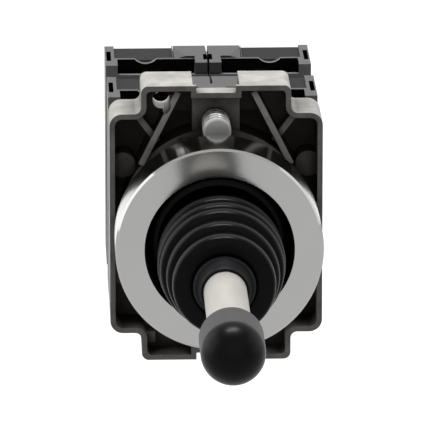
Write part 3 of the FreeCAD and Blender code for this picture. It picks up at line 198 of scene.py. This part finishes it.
def make_floor():
    """Pale floor some way below the part, which nothing touches; from underneath it can be seen through."""
    mesh = bpy.data.meshes.new("floor")
    r = FLOOR_REACH
    corners = [(-r, -r, FLOOR_HEIGHT), (r, -r, FLOOR_HEIGHT), (r, r, FLOOR_HEIGHT), (-r, r, FLOOR_HEIGHT)]
    mesh.from_pydata(corners, [], [(0, 1, 2, 3)])
    floor = bpy.data.objects.new("floor", mesh)
    bpy.context.scene.collection.objects.link(floor)
    mesh.materials.append(floor_material())


def floor_material():
    """Matt grey as a surface, with a glow that only the camera and reflections see."""
    material = bpy.data.materials.new("floor")
    material.use_nodes = True
    tree = material.node_tree
    tree.nodes.clear()
    link = tree.links.new
    matt = tree.nodes.new("ShaderNodeBsdfDiffuse")
    matt.inputs["Color"].default_value = grey(FLOOR_GREY)
    glow = tree.nodes.new("ShaderNodeEmission")
    glow.inputs["Strength"].default_value = FLOOR_GLOW
    glowing = tree.nodes.new("ShaderNodeAddShader")
    link(matt.outputs[0], glowing.inputs[0])
    link(glow.outputs[0], glowing.inputs[1])
    path = tree.nodes.new("ShaderNodeLightPath")
    seen = either(tree, path.outputs["Is Camera Ray"], path.outputs["Is Glossy Ray"])
    top = mixed(tree, seen, matt.outputs[0], glowing.outputs[0])
    side = tree.nodes.new("ShaderNodeNewGeometry")
    clear = tree.nodes.new("ShaderNodeBsdfTransparent")
    out = tree.nodes.new("ShaderNodeOutputMaterial")
    link(mixed(tree, side.outputs["Backfacing"], top, clear.outputs[0]), out.inputs["Surface"])
    return material


# Materials

MOTTLE_BAND = (0.3, 0.7)
MOTTLE_DETAIL = 6
GRAIN_DETAIL = 4
GRAIN_DEPTH = 0.00005
LEAST_ROUGHNESS = 0.02
RECESS_SAMPLES = 8
EDGE_SAMPLES = 4


def noise(tree, place, scale, detail):
    node = tree.nodes.new("ShaderNodeTexNoise")
    node.inputs["Scale"].default_value = scale
    node.inputs["Detail"].default_value = detail
    tree.links.new(place, node.inputs["Vector"])
    return node.outputs["Fac"]


def mottled(tree, cloud, color, mottle):
    """Colour that wanders with the cloud between a darker and a lighter tone."""
    ramp = tree.nodes.new("ShaderNodeValToRGB")
    for element, place, tone in zip(ramp.color_ramp.elements, MOTTLE_BAND, (1 - mottle, 1 + mottle)):
        element.position = place
        element.color = (*[min(1.0, part * tone) for part in color], 1)
    tree.links.new(cloud, ramp.inputs["Fac"])
    return ramp.outputs["Color"]


def painted_recess_shade(tree, paint, recess_shade, reach, shut, clear):
    """Painted shade: paint that fades to the given shade colour where ambient occlusion finds a recess; the
    fade starts at clear and is full at shut.
    """
    hollow = tree.nodes.new("ShaderNodeAmbientOcclusion")
    hollow.samples = RECESS_SAMPLES
    hollow.inputs["Distance"].default_value = reach
    fade = tree.nodes.new("ShaderNodeMapRange")
    fade.inputs["From Min"].default_value = shut
    fade.inputs["From Max"].default_value = clear
    tree.links.new(hollow.outputs["AO"], fade.inputs["Value"])
    shaded_paint = tree.nodes.new("ShaderNodeMix")
    shaded_paint.data_type = "RGBA"
    shaded_paint.inputs["A"].default_value = (*recess_shade, 1)
    tree.links.new(fade.outputs[0], shaded_paint.inputs["Factor"])
    tree.links.new(paint, shaded_paint.inputs["B"])
    return shaded_paint.outputs["Result"]


def uneven(tree, cloud, roughness, rough_vary):
    """Roughness that wanders with the cloud."""
    spread = tree.nodes.new("ShaderNodeMapRange")
    spread.inputs["To Min"].default_value = max(LEAST_ROUGHNESS, roughness - rough_vary)
    spread.inputs["To Max"].default_value = min(1.0, roughness + rough_vary)
    tree.links.new(cloud, spread.inputs["Value"])
    return spread.outputs[0]


def grained(tree, fine, grain, edge):
    """Normal with a fine bumped grain, over edges rounded to the radius given."""
    bump = tree.nodes.new("ShaderNodeBump")
    bump.inputs["Strength"].default_value = grain
    bump.inputs["Distance"].default_value = GRAIN_DEPTH
    tree.links.new(fine, bump.inputs["Height"])
    if edge:
        rounding = tree.nodes.new("ShaderNodeBevel")
        rounding.samples = EDGE_SAMPLES
        rounding.inputs["Radius"].default_value = edge
        tree.links.new(rounding.outputs[0], bump.inputs["Normal"])
    return bump.outputs[0]


def surface(name, color, roughness, mottle=0.0, grain=0.0, metallic=0.0, specular=0.5, mottle_scale=300.0,
            grain_scale=2500.0, rough_vary=0.0, stretch=(1, 1, 1), edge=0.0, recess_shade=None, reach=0.006,
            shut=0.45, clear=0.95):
    """Principled material with mottled colour, uneven gloss and a fine grain; a given recess shade colour
    paints shade into its recesses.
    """
    material = bpy.data.materials.new(name)
    material.use_nodes = True
    tree = material.node_tree
    link = tree.links.new
    shader = tree.nodes["Principled BSDF"]
    shader.inputs["Roughness"].default_value = roughness
    shader.inputs["Metallic"].default_value = metallic
    shader.inputs["Specular IOR Level"].default_value = specular
    coord = tree.nodes.new("ShaderNodeTexCoord")
    place = tree.nodes.new("ShaderNodeMapping")
    place.inputs["Scale"].default_value = stretch
    link(coord.outputs["Object"], place.inputs["Vector"])
    cloud = noise(tree, place.outputs[0], mottle_scale, MOTTLE_DETAIL)
    paint = mottled(tree, cloud, color, mottle)
    # Painted shade in recesses, from ambient occlusion.
    if recess_shade:
        paint = painted_recess_shade(tree, paint, recess_shade, reach, shut, clear)
    link(paint, shader.inputs["Base Color"])
    if rough_vary:
        link(uneven(tree, cloud, roughness, rough_vary), shader.inputs["Roughness"])
    fine = noise(tree, place.outputs[0], grain_scale, GRAIN_DETAIL)
    link(grained(tree, fine, grain, edge), shader.inputs["Normal"])
    return material


SATIN = surface("satin_metal", (0.35, 0.35, 0.345), 0.105, metallic=1.0, mottle=0.02, mottle_scale=60,
                grain=0.06, grain_scale=4000, rough_vary=0.02)
POLISHED = surface("polished_metal", (0.52, 0.52, 0.51), 0.13, metallic=1.0, mottle=0.03, mottle_scale=80,
                   grain=0.05, grain_scale=4000, rough_vary=0.03)
# Painted shade: the zinc casting goes near-black in its recesses.
CAST = surface("zinc_casting", (0.40, 0.387, 0.365), 0.55, metallic=0.1, mottle=0.22, mottle_scale=420,
               grain=0.6, grain_scale=2600, rough_vary=0.12, edge=0.00018, specular=0.2,
               recess_shade=(0.021, 0.017, 0.014), reach=0.0065, shut=0.50, clear=0.97)
STEEL = surface("bright_steel", (0.62, 0.61, 0.59), 0.30, metallic=1.0, mottle=0.06, mottle_scale=250,
                grain=0.25, grain_scale=3500, rough_vary=0.06)
SCREW = surface("screw_steel", (0.46, 0.46, 0.455), 0.48, metallic=0.5, mottle=0.05, mottle_scale=500,
                grain=0.2, grain_scale=3500, rough_vary=0.05, specular=0.15)
SCREW_HEAD = surface("screw_head_steel", (0.10, 0.10, 0.103), 0.5, metallic=0.5, mottle=0.10,
                     mottle_scale=300, grain=0.3, grain_scale=3500, rough_vary=0.08, specular=0.2)
# Painted shade: the shaft darkens where it is shut in, as near the boot's neck.
SHAFT = surface("ground_shaft", (0.50, 0.48, 0.45), 0.50, metallic=0.25, mottle=0.05, mottle_scale=700,
                grain=0.35, grain_scale=3000, rough_vary=0.08, stretch=(1, 0.25, 1), specular=0.3,
                recess_shade=(0.16, 0.15, 0.14), reach=0.006, shut=0.3, clear=1.0)
RUBBER = surface("boot_rubber", (0.0010, 0.0011, 0.0013), 0.28, mottle=0.2, mottle_scale=300, grain=0.2,
                 grain_scale=3200, rough_vary=0.04, specular=0.065)
# Painted highlight: a lighter copy of the boot rubber for the flat lands of the ridges, standing in for
# their bright rim line.
RUBBER_RIM_LIT = surface("boot_rim_painted_highlight", (0.008, 0.0083, 0.009), 0.34, mottle=0.25, mottle_scale=500,
                      grain=0.25, grain_scale=3200, rough_vary=0.05, specular=0.06)
# Painted light: a lighter copy of the boot rubber for the neck bead, which the ridges shade from the top
# lamp.
RUBBER_BEAD_LIT = surface("boot_bead_painted_light", (0.040, 0.0405, 0.0425), 0.45, mottle=0.15, grain=0.2,
                      specular=0.06)
# Painted light: a lighter copy of the boot rubber for the neck, which lies in the ridges' shadow.
RUBBER_NECK_LIT = surface("boot_neck_painted_light", (0.013, 0.0135, 0.0145), 0.45, mottle=0.12, mottle_scale=300,
                      grain=0.3, grain_scale=3200, rough_vary=0.05, specular=0.07)
GLOSS = surface("knob_plastic", (0.0014, 0.0014, 0.0016), 0.31, mottle=0.1, mottle_scale=200, grain=0.05,
                grain_scale=3000, rough_vary=0.03, specular=0.075)
# Painted light: a matt grey copy of the black knob plastic for the knob's turned side, as lit from above.
KNOB_SIDE_LIT = surface("knob_side_painted_light", (0.082, 0.082, 0.084), 0.5, mottle=0.05, mottle_scale=300,
                    grain=0.2, grain_scale=3000, rough_vary=0.04, specular=0.06)
BLACK = surface("black_plastic", (0.006, 0.006, 0.006), 0.5, mottle=0.12, mottle_scale=300, grain=0.3,
                specular=0.03)
# Painted shade: the block plastic goes near-black in its recesses.
HOUSING = surface("block_plastic", (0.165, 0.165, 0.168), 0.45, mottle=0.06, mottle_scale=260, grain=0.3,
                  grain_scale=3400, rough_vary=0.05, edge=0.00012, specular=0.15,
                  recess_shade=(0.002, 0.002, 0.002), reach=0.004, shut=0.35, clear=0.75)
# Painted shade: a near-black copy of the block plastic for the flat inset panels on top, standing in for
# their shading.
PANEL_SHADE = surface("block_panel_painted_shade", (0.018, 0.018, 0.019), 0.6, mottle=0.08, mottle_scale=500,
                grain=0.5, grain_scale=2800, rough_vary=0.05, edge=0.00008, specular=0.08)
# Painted shade: the latch plastic goes near-black in its recesses.
LATCH = surface("latch_plastic", (0.076, 0.076, 0.078), 0.42, mottle=0.05, mottle_scale=260, grain=0.25,
                grain_scale=3400, rough_vary=0.05, edge=0.00012, specular=0.15,
                recess_shade=(0.004, 0.004, 0.004), reach=0.003, shut=0.3, clear=0.7)
GREEN = surface("plunger_plastic", (0.04, 0.28, 0.10), 0.45, mottle=0.06, grain=0.2, specular=0.3)
# Painted shade: the brass goes near-black in its recesses deep in the blocks.
BRASS = surface("contact_brass", (0.50, 0.36, 0.16), 0.34, metallic=0.9, mottle=0.08, grain=0.15,
                recess_shade=(0.004, 0.003, 0.002), reach=0.006, shut=0.5, clear=0.9)
# Painted shade: a darker copy of the steel for the terminal screws and clamps deep in the blocks; it also
# goes near-black in their recesses.
SHADED_STEEL = surface("steel_painted_shade", (0.30, 0.29, 0.28), 0.4, metallic=0.9, mottle=0.1, mottle_scale=300,
                     grain=0.3, rough_vary=0.08, recess_shade=(0.003, 0.003, 0.003), reach=0.006, shut=0.5,
                     clear=0.9)
# Painted shade: a darker copy of the block plastic for the flat tops and undersides, toning down the top
# lamp's light on them.
HOUSING_TOP_SHADE = surface("block_top_painted_shade", (0.100, 0.100, 0.103), 0.45, mottle=0.06, mottle_scale=260,
                      grain=0.3, grain_scale=3400, rough_vary=0.05, edge=0.00012, specular=0.12)
# Painted shade: near-black with no reflection, for the bezel's bore and the boot's clamp ring in the dark
# recess around the boot.
BORE_SHADE = surface("bezel_bore_painted_shade", (0.002, 0.002, 0.002), 0.8, specular=0.0)
# Painted shade: near-black plastic for the insides of the wire entries, edge pockets and seam slots, and for
# the seam ribs.
SHADE_PLASTIC = surface("painted_shade_plastic", (0.004, 0.004, 0.004), 0.7, specular=0.02)
# Painted shade: darker copies of the zinc casting for the front-facing faces of the collar's rim and ribs,
# which face away from the top lamp; they also go dark in their recesses.
CAST_RIM_SHADE = surface("zinc_casting_rim_painted_shade", (0.17, 0.165, 0.155), 0.60, metallic=0.1, mottle=0.30,
                   mottle_scale=420, grain=0.6, grain_scale=2600, rough_vary=0.12, edge=0.00012,
                   specular=0.15, recess_shade=(0.05, 0.046, 0.042), reach=0.004, shut=0.3, clear=0.9)
CAST_RIB_SHADE = surface("zinc_casting_rib_painted_shade", (0.27, 0.26, 0.245), 0.60, metallic=0.1, mottle=0.25,
                   mottle_scale=420, grain=0.6, grain_scale=2600, rough_vary=0.12, edge=0.00012,
                   specular=0.15, recess_shade=(0.016, 0.0125, 0.010), reach=0.0065, shut=0.45, clear=0.97)
# Painted light: a light copy of the casting for the wall of the collar's drain hole, bright as if lit, with
# no recess shade.
BORE_LIT = surface("zinc_drain_painted_light", (0.62, 0.60, 0.57), 0.4, metallic=0.2, mottle=0.05, grain=0.2, specular=0.3)
SCREW_TIP = surface("screw_tip_steel", (0.44, 0.44, 0.435), 0.55, metallic=0.1, mottle=0.06,
                    mottle_scale=500, grain=0.2, grain_scale=3500, rough_vary=0.08, specular=0.1)
# Painted shade: dark steel for the roots of the thread, in its grooves.
THREAD_ROOT_SHADE = surface("thread_root_painted_shade", (0.12, 0.12, 0.12), 0.5, metallic=0.4, specular=0.1)
RUBBER_FLAT = surface("gasket_rubber", (0.006, 0.006, 0.007), 0.6, mottle=0.2, grain=0.3, specular=0.05)

MATERIAL_OF_SLOT = {
    "satin_metal": SATIN,
    "zinc_casting": CAST,
    "bright_steel": STEEL,
    "black_rubber": RUBBER_FLAT,
    "black_gloss": GLOSS,
    "black_plastic": BLACK,
    "grey_plastic": HOUSING,
    "green_plastic": GREEN,
    "contact_brass": BRASS,
}
MATERIAL_OF_NODE = {
    "lever_shaft": SHAFT,
    "terminal_screws": SHADED_STEEL,
    "terminal_clamps": SHADED_STEEL,
    # The boot's clamp ring gets the bore's painted shade.
    "boot_clamp_ring": BORE_SHADE,
}

SHARP_FROM = math.radians(28)


def dress_nodes():
    """Give each CAD node its material and smooth its curved faces."""
    slots = {entry["node"]: entry["material_slot"] for entry in frame["record"]["subparts"]}
    for name, obj in NODES.items():
        material = MATERIAL_OF_NODE.get(name, MATERIAL_OF_SLOT[slots[name]])
        if name.endswith("_latch"):
            material = LATCH
        obj.data.materials.clear()
        obj.data.materials.append(material)
        obj.data.set_sharp_from_angle(angle=SHARP_FROM)
        for face in obj.data.polygons:
            face.use_smooth = True
    colour_bezel(NODES["bezel"])
    colour_knob(NODES["knob"])
    colour_collar(NODES["fixing_collar"])
    for name, obj in NODES.items():
        if name.endswith("_housing"):
            colour_housing(obj)
        if name.endswith("_latch"):
            housing = NODES[name.removesuffix("latch") + "housing"]
            # Painted shade on the latch's faces in the seam slot.
            recolour(obj, SHADE_PLASTIC, in_seam_slot(node_reach(housing)[1] / MM))


def recolour(obj, material, wanted):
    """Give one more material to the faces that a test on (centre in millimetres, normal) picks."""
    obj.data.materials.append(material)
    index = len(obj.data.materials) - 1
    turn = obj.matrix_world.to_3x3()
    for face in obj.data.polygons:
        if wanted(obj.matrix_world @ face.center / MM, (turn @ face.normal).normalized()):
            face.material_index = index


# Places, radii and heights in the tests below are in millimetres, and limits of a normal are parts of 1.
UPRIGHT = 0.9
BORE_RADIUS = 10.5
SKIRT_FACES_BACK = -0.45


def colour_bezel(bezel):
    """The bezel's skirt is polished and its front ring stays satin; its bore gets painted shade, a
    near-black with no reflection.
    """
    recolour(bezel, POLISHED, lambda centre, normal: normal.y > SKIRT_FACES_BACK)
    recolour(bezel, BORE_SHADE, lambda centre, normal: math.hypot(centre.x, centre.z) < BORE_RADIUS
             and normal.y > SKIRT_FACES_BACK)


KNOB_SIDE_FROM = -57.3


def colour_knob(knob):
    """The knob's turned side is matt, with a lighter grey as painted light from above; its dome is polished.
    """
    recolour(knob, KNOB_SIDE_LIT, lambda centre, normal: centre.y > KNOB_SIDE_FROM)


RIM_TO = 6.5
RIBS_TO = (7.4, 7.95)
FRONT_FACING = -0.9
DRAIN = (-7.56, 16.9)
DRAIN_RADIUS = 1.35
DRAIN_FROM = 10.7
DRAIN_WALL = 0.2


def colour_collar(collar):
    """Painted shade makes the collar's front rim and the ribs behind it darker than its top; painted light
    makes its drain hole bright.
    """
    # Painted shade on the front-facing rim and ribs.
    recolour(collar, CAST_RIM_SHADE, lambda centre, normal: normal.y < FRONT_FACING and centre.y < RIM_TO)
    recolour(collar, CAST_RIB_SHADE, lambda centre, normal: normal.y < FRONT_FACING
             and RIBS_TO[0] < centre.y < RIBS_TO[1])
    # Painted light on the drain hole's wall.
    recolour(collar, BORE_LIT, lambda centre, normal: abs(normal.y) < DRAIN_WALL and centre.y > DRAIN_FROM
             and math.hypot(centre.x - DRAIN[0], centre.z - DRAIN[1]) < DRAIN_RADIUS)


PANEL_SIDES = (5.0, 13.7)
PANEL_HEIGHTS = (14.5, 14.8)
ENTRY_SIDES = (1.9, 13.35)
ENTRY_FROM = 9.2
ENTRY_DEPTHS = (7.35, 10.45)
ENTRY_LIP = 14.9
SLOT_SIDE = 0.8
SLOT_DEPTHS = (8.6, 12.4)
SLOT_FROM = 10.5
POCKET_SIDES = (13.95, 14.85)
POCKET_DEPTHS = (9.5, 15.3)
POCKET_FROM = 11.0
SUNK_BELOW = 13.0


def in_seam_slot(front):
    """Test for the walls and the floor of the small slot at the seam."""
    return lambda centre, normal: (abs(centre.x) < SLOT_SIDE and centre.z > SLOT_FROM
                                   and SLOT_DEPTHS[0] < centre.y - front < SLOT_DEPTHS[1]
                                   and (normal.z < UPRIGHT or centre.z < ENTRY_LIP))


def colour_housing(housing):
    """Painted shade: darker copies of the block plastic on flat tops and undersides and on the inset panels,
    and near-black insides of the wire entries, edge pockets and seam slot.
    """
    front = node_reach(housing)[1] / MM
    # Painted shade on the flat tops and undersides.
    recolour(housing, HOUSING_TOP_SHADE, lambda centre, normal: abs(normal.z) > UPRIGHT
             and abs(centre.z) > ENTRY_LIP)
    # Painted shade on the inset panels.
    recolour(housing, PANEL_SHADE, lambda centre, normal: abs(normal.z) > UPRIGHT
             and PANEL_SIDES[0] < abs(centre.x) < PANEL_SIDES[1]
             and PANEL_HEIGHTS[0] < abs(centre.z) < PANEL_HEIGHTS[1])
    # Painted shade in the wire entries, the edge pockets and the seam slot.
    recolour(housing, SHADE_PLASTIC, lambda centre, normal: ENTRY_SIDES[0] < abs(centre.x) < ENTRY_SIDES[1]
             and abs(centre.z) > ENTRY_FROM and ENTRY_DEPTHS[0] < centre.y - front < ENTRY_DEPTHS[1]
             and (abs(normal.z) < UPRIGHT or abs(centre.z) < SUNK_BELOW))
    recolour(housing, SHADE_PLASTIC, lambda centre, normal: POCKET_SIDES[0] < abs(centre.x) < POCKET_SIDES[1]
             and POCKET_DEPTHS[0] < centre.y - front < POCKET_DEPTHS[1]
             and (abs(normal.z) < UPRIGHT or abs(centre.z) < SUNK_BELOW) and abs(centre.z) > POCKET_FROM)
    recolour(housing, SHADE_PLASTIC, in_seam_slot(front))


# Added pieces

def add_piece(name, mesh, material, body):
    piece = bpy.data.objects.new(name, mesh)
    bpy.context.scene.collection.objects.link(piece)
    if material:
        mesh.materials.append(material)
    for face in mesh.polygons:
        face.use_smooth = True
    if body:
        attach(piece, body)
    return piece


def turned_mesh(name, profile, segments):
    """Ring turned about the Y axis from a closed outline of (radius, y) points in metres."""
    rows = len(profile)
    points = []
    for radius, y in profile:
        for step in range(segments):
            angle = 2 * math.pi * step / segments
            points.append((radius * math.cos(angle), y, radius * math.sin(angle)))
    faces = []
    for row in range(rows):
        following = (row + 1) % rows
        for step in range(segments):
            beside = (step + 1) % segments
            faces.append((row * segments + beside, following * segments + beside,
                          following * segments + step, row * segments + step))
    mesh = bpy.data.meshes.new(name)
    mesh.from_pydata(points, [], faces)
    mesh.validate()
    return mesh


# Boot

# Millimetres; a place is counted from the panel towards the user. RIDGES holds (place, radius), the parts of
# a ridge hold offsets outwards and towards the panel, and the other outlines hold (radius, place).
RIDGES = [(11.2, 8.75), (15.0, 8.85), (17.3, 8.6), (20.9, 7.8), (24.8, 7.1)]
RIDGE_BACK = [(-1.35, 0.30), (-0.9, 0.24), (-0.25, 0.18), (-0.05, 0.12)]
RIDGE_LAND = [(0.0, 0.05), (-0.02, -0.35), (-0.05, -0.70)]
RIDGE_SHOULDER = [(-0.07, -0.87), (-0.14, -1.07), (-0.25, -1.25), (-0.40, -1.40), (-0.60, -1.50)]
RIDGE_FRONT = [(-1.0, -1.57), (-1.3, -1.62)]
BOOT_WALL = 0.8
BOOT_SEGMENTS = 120
BASE = [(12.9, 4.2), (12.9, 5.0), (8.7, 5.0), (8.32, 5.15), (8.2, 5.5), (8.2, 10.3), (8.3, 10.75),
        (8.69, 10.98)]
BASE_INSIDE = [(7.4, 10.3), (7.4, 4.2)]
CONE = [(5.5, 26.42), (5.0, 26.42), (4.6, 26.38), (4.36, 26.28)]
NECK_BEAD = [(4.26, 26.2), (4.30, 26.3), (4.26, 26.45), (4.14, 26.55)]
NECK = [(4.02, 26.65), (3.88, 27.1), (3.72, 27.6), (3.56, 28.35), (3.40, 28.95), (3.3, 29.1)]
NECK_HOLE = 3.05
NECK_STEP = 1.4
VALLEY_DEPTH = 1.4
SPLIT_AT = 13.1

# The last three kinds pick lighter copies of the rubber: painted light on the ridge lands, the neck bead and
# the neck.
PLAIN, LAND_LIT, NECK_LIT, BEAD_LIT = 0, 1, 2, 3
BOOT_SURFACES = (RUBBER, RUBBER_RIM_LIT, RUBBER_NECK_LIT, RUBBER_BEAD_LIT)


def ridge_sections(place, radius, parts):
    """Sections of one ridge: each part's points, moved to the ridge's place."""
    return [([(radius + out, place - along) for out, along in points], surface_kind) for points, surface_kind in parts]


def boot_half(name, sections, inside):
    """One bellows from (points, surface kind) sections and its inside."""
    profile = []
    surface_kinds = []
    for points, surface_kind in sections + [(inside, PLAIN)]:
        profile += points
        surface_kinds += [surface_kind] * len(points)
    mesh = turned_mesh(name, [(radius * MM, -place * MM) for radius, place in profile], BOOT_SEGMENTS)
    for material in BOOT_SURFACES:
        mesh.materials.append(material)
    for face in mesh.polygons:
        face.material_index = surface_kinds[face.index // BOOT_SEGMENTS]
    piece = add_piece(name, mesh, None, None)
    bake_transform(piece)
    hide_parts("rubber_boot")


def make_boot():
    """Two bellows, rear and front, that meet in a valley."""
    whole = [(RIDGE_BACK, PLAIN), (RIDGE_LAND, LAND_LIT), (RIDGE_SHOULDER, PLAIN), (RIDGE_FRONT, PLAIN)]
    place, radius = RIDGES[0]
    valley = (radius - VALLEY_DEPTH, SPLIT_AT)
    lining = (valley[0] - BOOT_WALL, SPLIT_AT)
    sections = [(BASE, PLAIN)] + ridge_sections(place, radius, whole[1:]) + [([valley], PLAIN)]
    boot_half("boot_rear", sections, [lining] + BASE_INSIDE)
    sections = [([valley], PLAIN)]
    inside = [lining]
    for place, radius in RIDGES[1:]:
        last = (place, radius) == RIDGES[-1]
        sections += ridge_sections(place, radius, whole[:-1] if last else whole)
        inside.append((radius - VALLEY_DEPTH - BOOT_WALL, place - (NECK_STEP if last else 0)))
    sections += [(CONE, PLAIN), (NECK_BEAD, BEAD_LIT), (NECK, NECK_LIT)]
    inside += [(NECK_HOLE, RIDGES[-1][0] - NECK_STEP), (NECK_HOLE, NECK[-1][1])]
    boot_half("boot_front", sections, inside[::-1])


# Clamp screw

# Lengths and places are in millimetres. ROOT_SHARE and FLANK_SHARE are parts of half a pitch, and ROOT_FROM
# is the part of the thread's depth below which a face counts as root and gets painted shade.
THREAD_PITCH = 1.2
THREAD_DEPTH = 0.17
ROOT_SHARE = 0.28
FLANK_SHARE = 0.44
ROOT_FROM = 0.45
THREAD_TO = 12.0
THREAD_SEGMENTS = 48
ROWS_PER_PITCH = 10
TIP_ROUND = 0.45
TIP_TAPER = 0.2
SCREW_RADIUS = 2.0
HEAD_FROM = 14.8
THREAD_SHARP_FROM = math.radians(35)


def thread_height(turn):
    """Height of a rounded trapezoid thread between 0 and 1, for a turn counted from its crest."""
    part = turn - math.floor(turn)
    slope = abs(part - 0.5) * 2
    return min(1.0, max(0.0, (slope - ROOT_SHARE) / FLANK_SHARE))


def make_screw():
    """Clamp screw: a cut thread on the shank, with the solid's own head behind it."""
    node = NODES["clamp_screw"]
    centre, low = node_reach(node)[:2]
    mesh = bmesh.new()
    mesh.from_mesh(node.data)
    mesh.transform(node.matrix_world)
    everything = mesh.verts[:] + mesh.edges[:] + mesh.faces[:]
    bmesh.ops.bisect_plane(mesh, geom=everything, plane_co=(0, THREAD_TO * MM, 0), plane_no=(0, 1, 0),
                           clear_inner=True)
    front = low / MM
    rows = int((THREAD_TO - front) / THREAD_PITCH * ROWS_PER_PITCH)
    rings = []
    for row in range(rows + 1):
        place = front + (THREAD_TO - front) * row / rows
        inset = max(0.0, TIP_ROUND - (place - front)) / TIP_ROUND
        dome = SCREW_RADIUS * (1 - TIP_TAPER * inset ** 2)
        ring = []
        for step in range(THREAD_SEGMENTS):
            angle = 2 * math.pi * step / THREAD_SEGMENTS
            depth = THREAD_DEPTH * (1 - thread_height(place / THREAD_PITCH - step / THREAD_SEGMENTS))
            radius = min(dome, SCREW_RADIUS - depth)
            ring.append(mesh.verts.new((centre.x + radius * MM * math.cos(angle), place * MM,
                                        centre.z + radius * MM * math.sin(angle))))
        rings.append(ring)
    for ring, following in zip(rings, rings[1:]):
        for step in range(THREAD_SEGMENTS):
            beside = (step + 1) % THREAD_SEGMENTS
            mesh.faces.new((ring[beside], ring[step], following[step], following[beside]))
    mesh.faces.new(rings[0])
    made = bpy.data.meshes.new("clamp_screw_thread")
    mesh.to_mesh(made)
    mesh.free()
    made.set_sharp_from_angle(angle=THREAD_SHARP_FROM)
    piece = add_piece("clamp_screw_thread", made, SCREW, None)
    recolour(piece, SCREW_HEAD, lambda place, normal: place.y > HEAD_FROM)
    recolour(piece, SCREW_TIP, lambda place, normal: place.y < front + TIP_ROUND)
    root = SCREW_RADIUS - THREAD_DEPTH * ROOT_FROM
    # Painted shade in the thread's grooves.
    recolour(piece, THREAD_ROOT_SHADE, lambda place, normal: front + TIP_ROUND < place.y < THREAD_TO
             and math.hypot(place.x - centre.x / MM, place.z - centre.z / MM) < root)
    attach(piece, "clamp_screw_body")
    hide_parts("clamp_screw")


# Springs

SPRING_PLUNGERS = {
    "front_left_spring": "plunger_left",
    "front_right_spring": "plunger_right",
    "rear_left_spring": "plunger_up",
    "rear_right_spring": "plunger_down",
}
# The centring coil is narrower by its inset, to clear the push rods.
# As a part of its length: its two stretches meet at the split.
CENTRING_INSET = 0.35 * MM
CENTRING_SPLIT = 0.45


def coil_piece(name, node_name, keep_from=None, keep_to=None, inset=0.0):
    """Copy of a spring's mesh, set inwards, and cut to a stretch along Y where one is given."""
    mesh = bmesh.new()
    mesh.from_mesh(NODES[node_name].data)
    mesh.transform(NODES[node_name].matrix_world)
    centre = node_reach(NODES[node_name])[0]
    for vert in mesh.verts:
        outwards = Vector((vert.co.x - centre.x, 0, vert.co.z - centre.z)).normalized()
        vert.co -= outwards * inset
    for place, side in ((keep_from, -1), (keep_to, 1)):
        if place is None:
            continue
        everything = mesh.verts[:] + mesh.edges[:] + mesh.faces[:]
        bmesh.ops.bisect_plane(mesh, geom=everything, plane_co=(0, place, 0), plane_no=(0, side, 0),
                               clear_outer=True)
    made = bpy.data.meshes.new(name)
    mesh.to_mesh(made)
    mesh.free()
    piece = add_piece(name, made, STEEL, None)
    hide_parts(node_name)
    return piece


def make_springs():
    """Return springs between plunger and housing, and the centring spring in two stretches."""
    for node_name, body in SPRING_PLUNGERS.items():
        centre, low, high = node_reach(NODES[node_name])
        piece = coil_piece(node_name + "_coil", node_name)
        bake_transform(piece)
    centre, low, high = node_reach(NODES["centring_spring"])
    split = low + (high - low) * CENTRING_SPLIT
    front = coil_piece("centring_coil_front", "centring_spring", keep_to=split, inset=CENTRING_INSET)
    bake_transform(front)
    rear = coil_piece("centring_coil_rear", "centring_spring", keep_from=split, inset=CENTRING_INSET)
    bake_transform(rear)


# Seam ribs

# Outlines of the thin ribs in the seam between two blocks, as (depth in the block, height) points in
# millimetres. They leave the push rods and their arms room to move.
SEAM_RIBS = [
    [(18.3, 14.2), (17.7, 14.2), (17.7, 8.5), (18.3, 8.5)],
    [(18.3, 4.9), (17.7, 4.9), (17.7, -4.9), (18.3, -4.9)],
    [(18.3, -8.5), (17.7, -8.5), (17.7, -13.6), (7.4, -13.6), (7.4, -10.0), (0.4, -10.0), (0.4, -10.6),
     (6.8, -10.6), (6.8, -14.2), (18.3, -14.2)],
]
SEAM_HALF = 0.095 * MM


def make_seam_ribs():
    """Ribs along the rear and the underside of each seam, so that no light shows through it; their
    near-black is painted shade.
    """
    for layer in ("front", "rear"):
        front = node_reach(NODES[layer + "_left_housing"])[1]
        points = []
        faces = []
        for outline in SEAM_RIBS:
            first = len(points)
            count = len(outline)
            for side in (-SEAM_HALF, SEAM_HALF):
                points += [(side, front + depth * MM, height * MM) for depth, height in outline]
            faces.append(tuple(range(first + count - 1, first - 1, -1)))
            faces.append(tuple(range(first + count, first + 2 * count)))
            for corner in range(count):
                near = first + corner
                beside = first + (corner + 1) % count
                faces.append((near, beside, beside + count, near + count))
        mesh = bpy.data.meshes.new(layer + "_seam_rib")
        mesh.from_pydata(points, [], faces)
        mesh.set_sharp_from_angle(angle=SHARP_FROM)
        add_piece(layer + "_seam_rib", mesh, SHADE_PLASTIC, "head")


# The whole scene

def main():
    make_camera()
    make_world()
    make_lights()
    make_floor()
    dress_nodes()
    make_boot()
    make_screw()
    make_springs()
    make_seam_ribs()


main()
bpy.context.scene.view_settings.view_transform = "Standard"
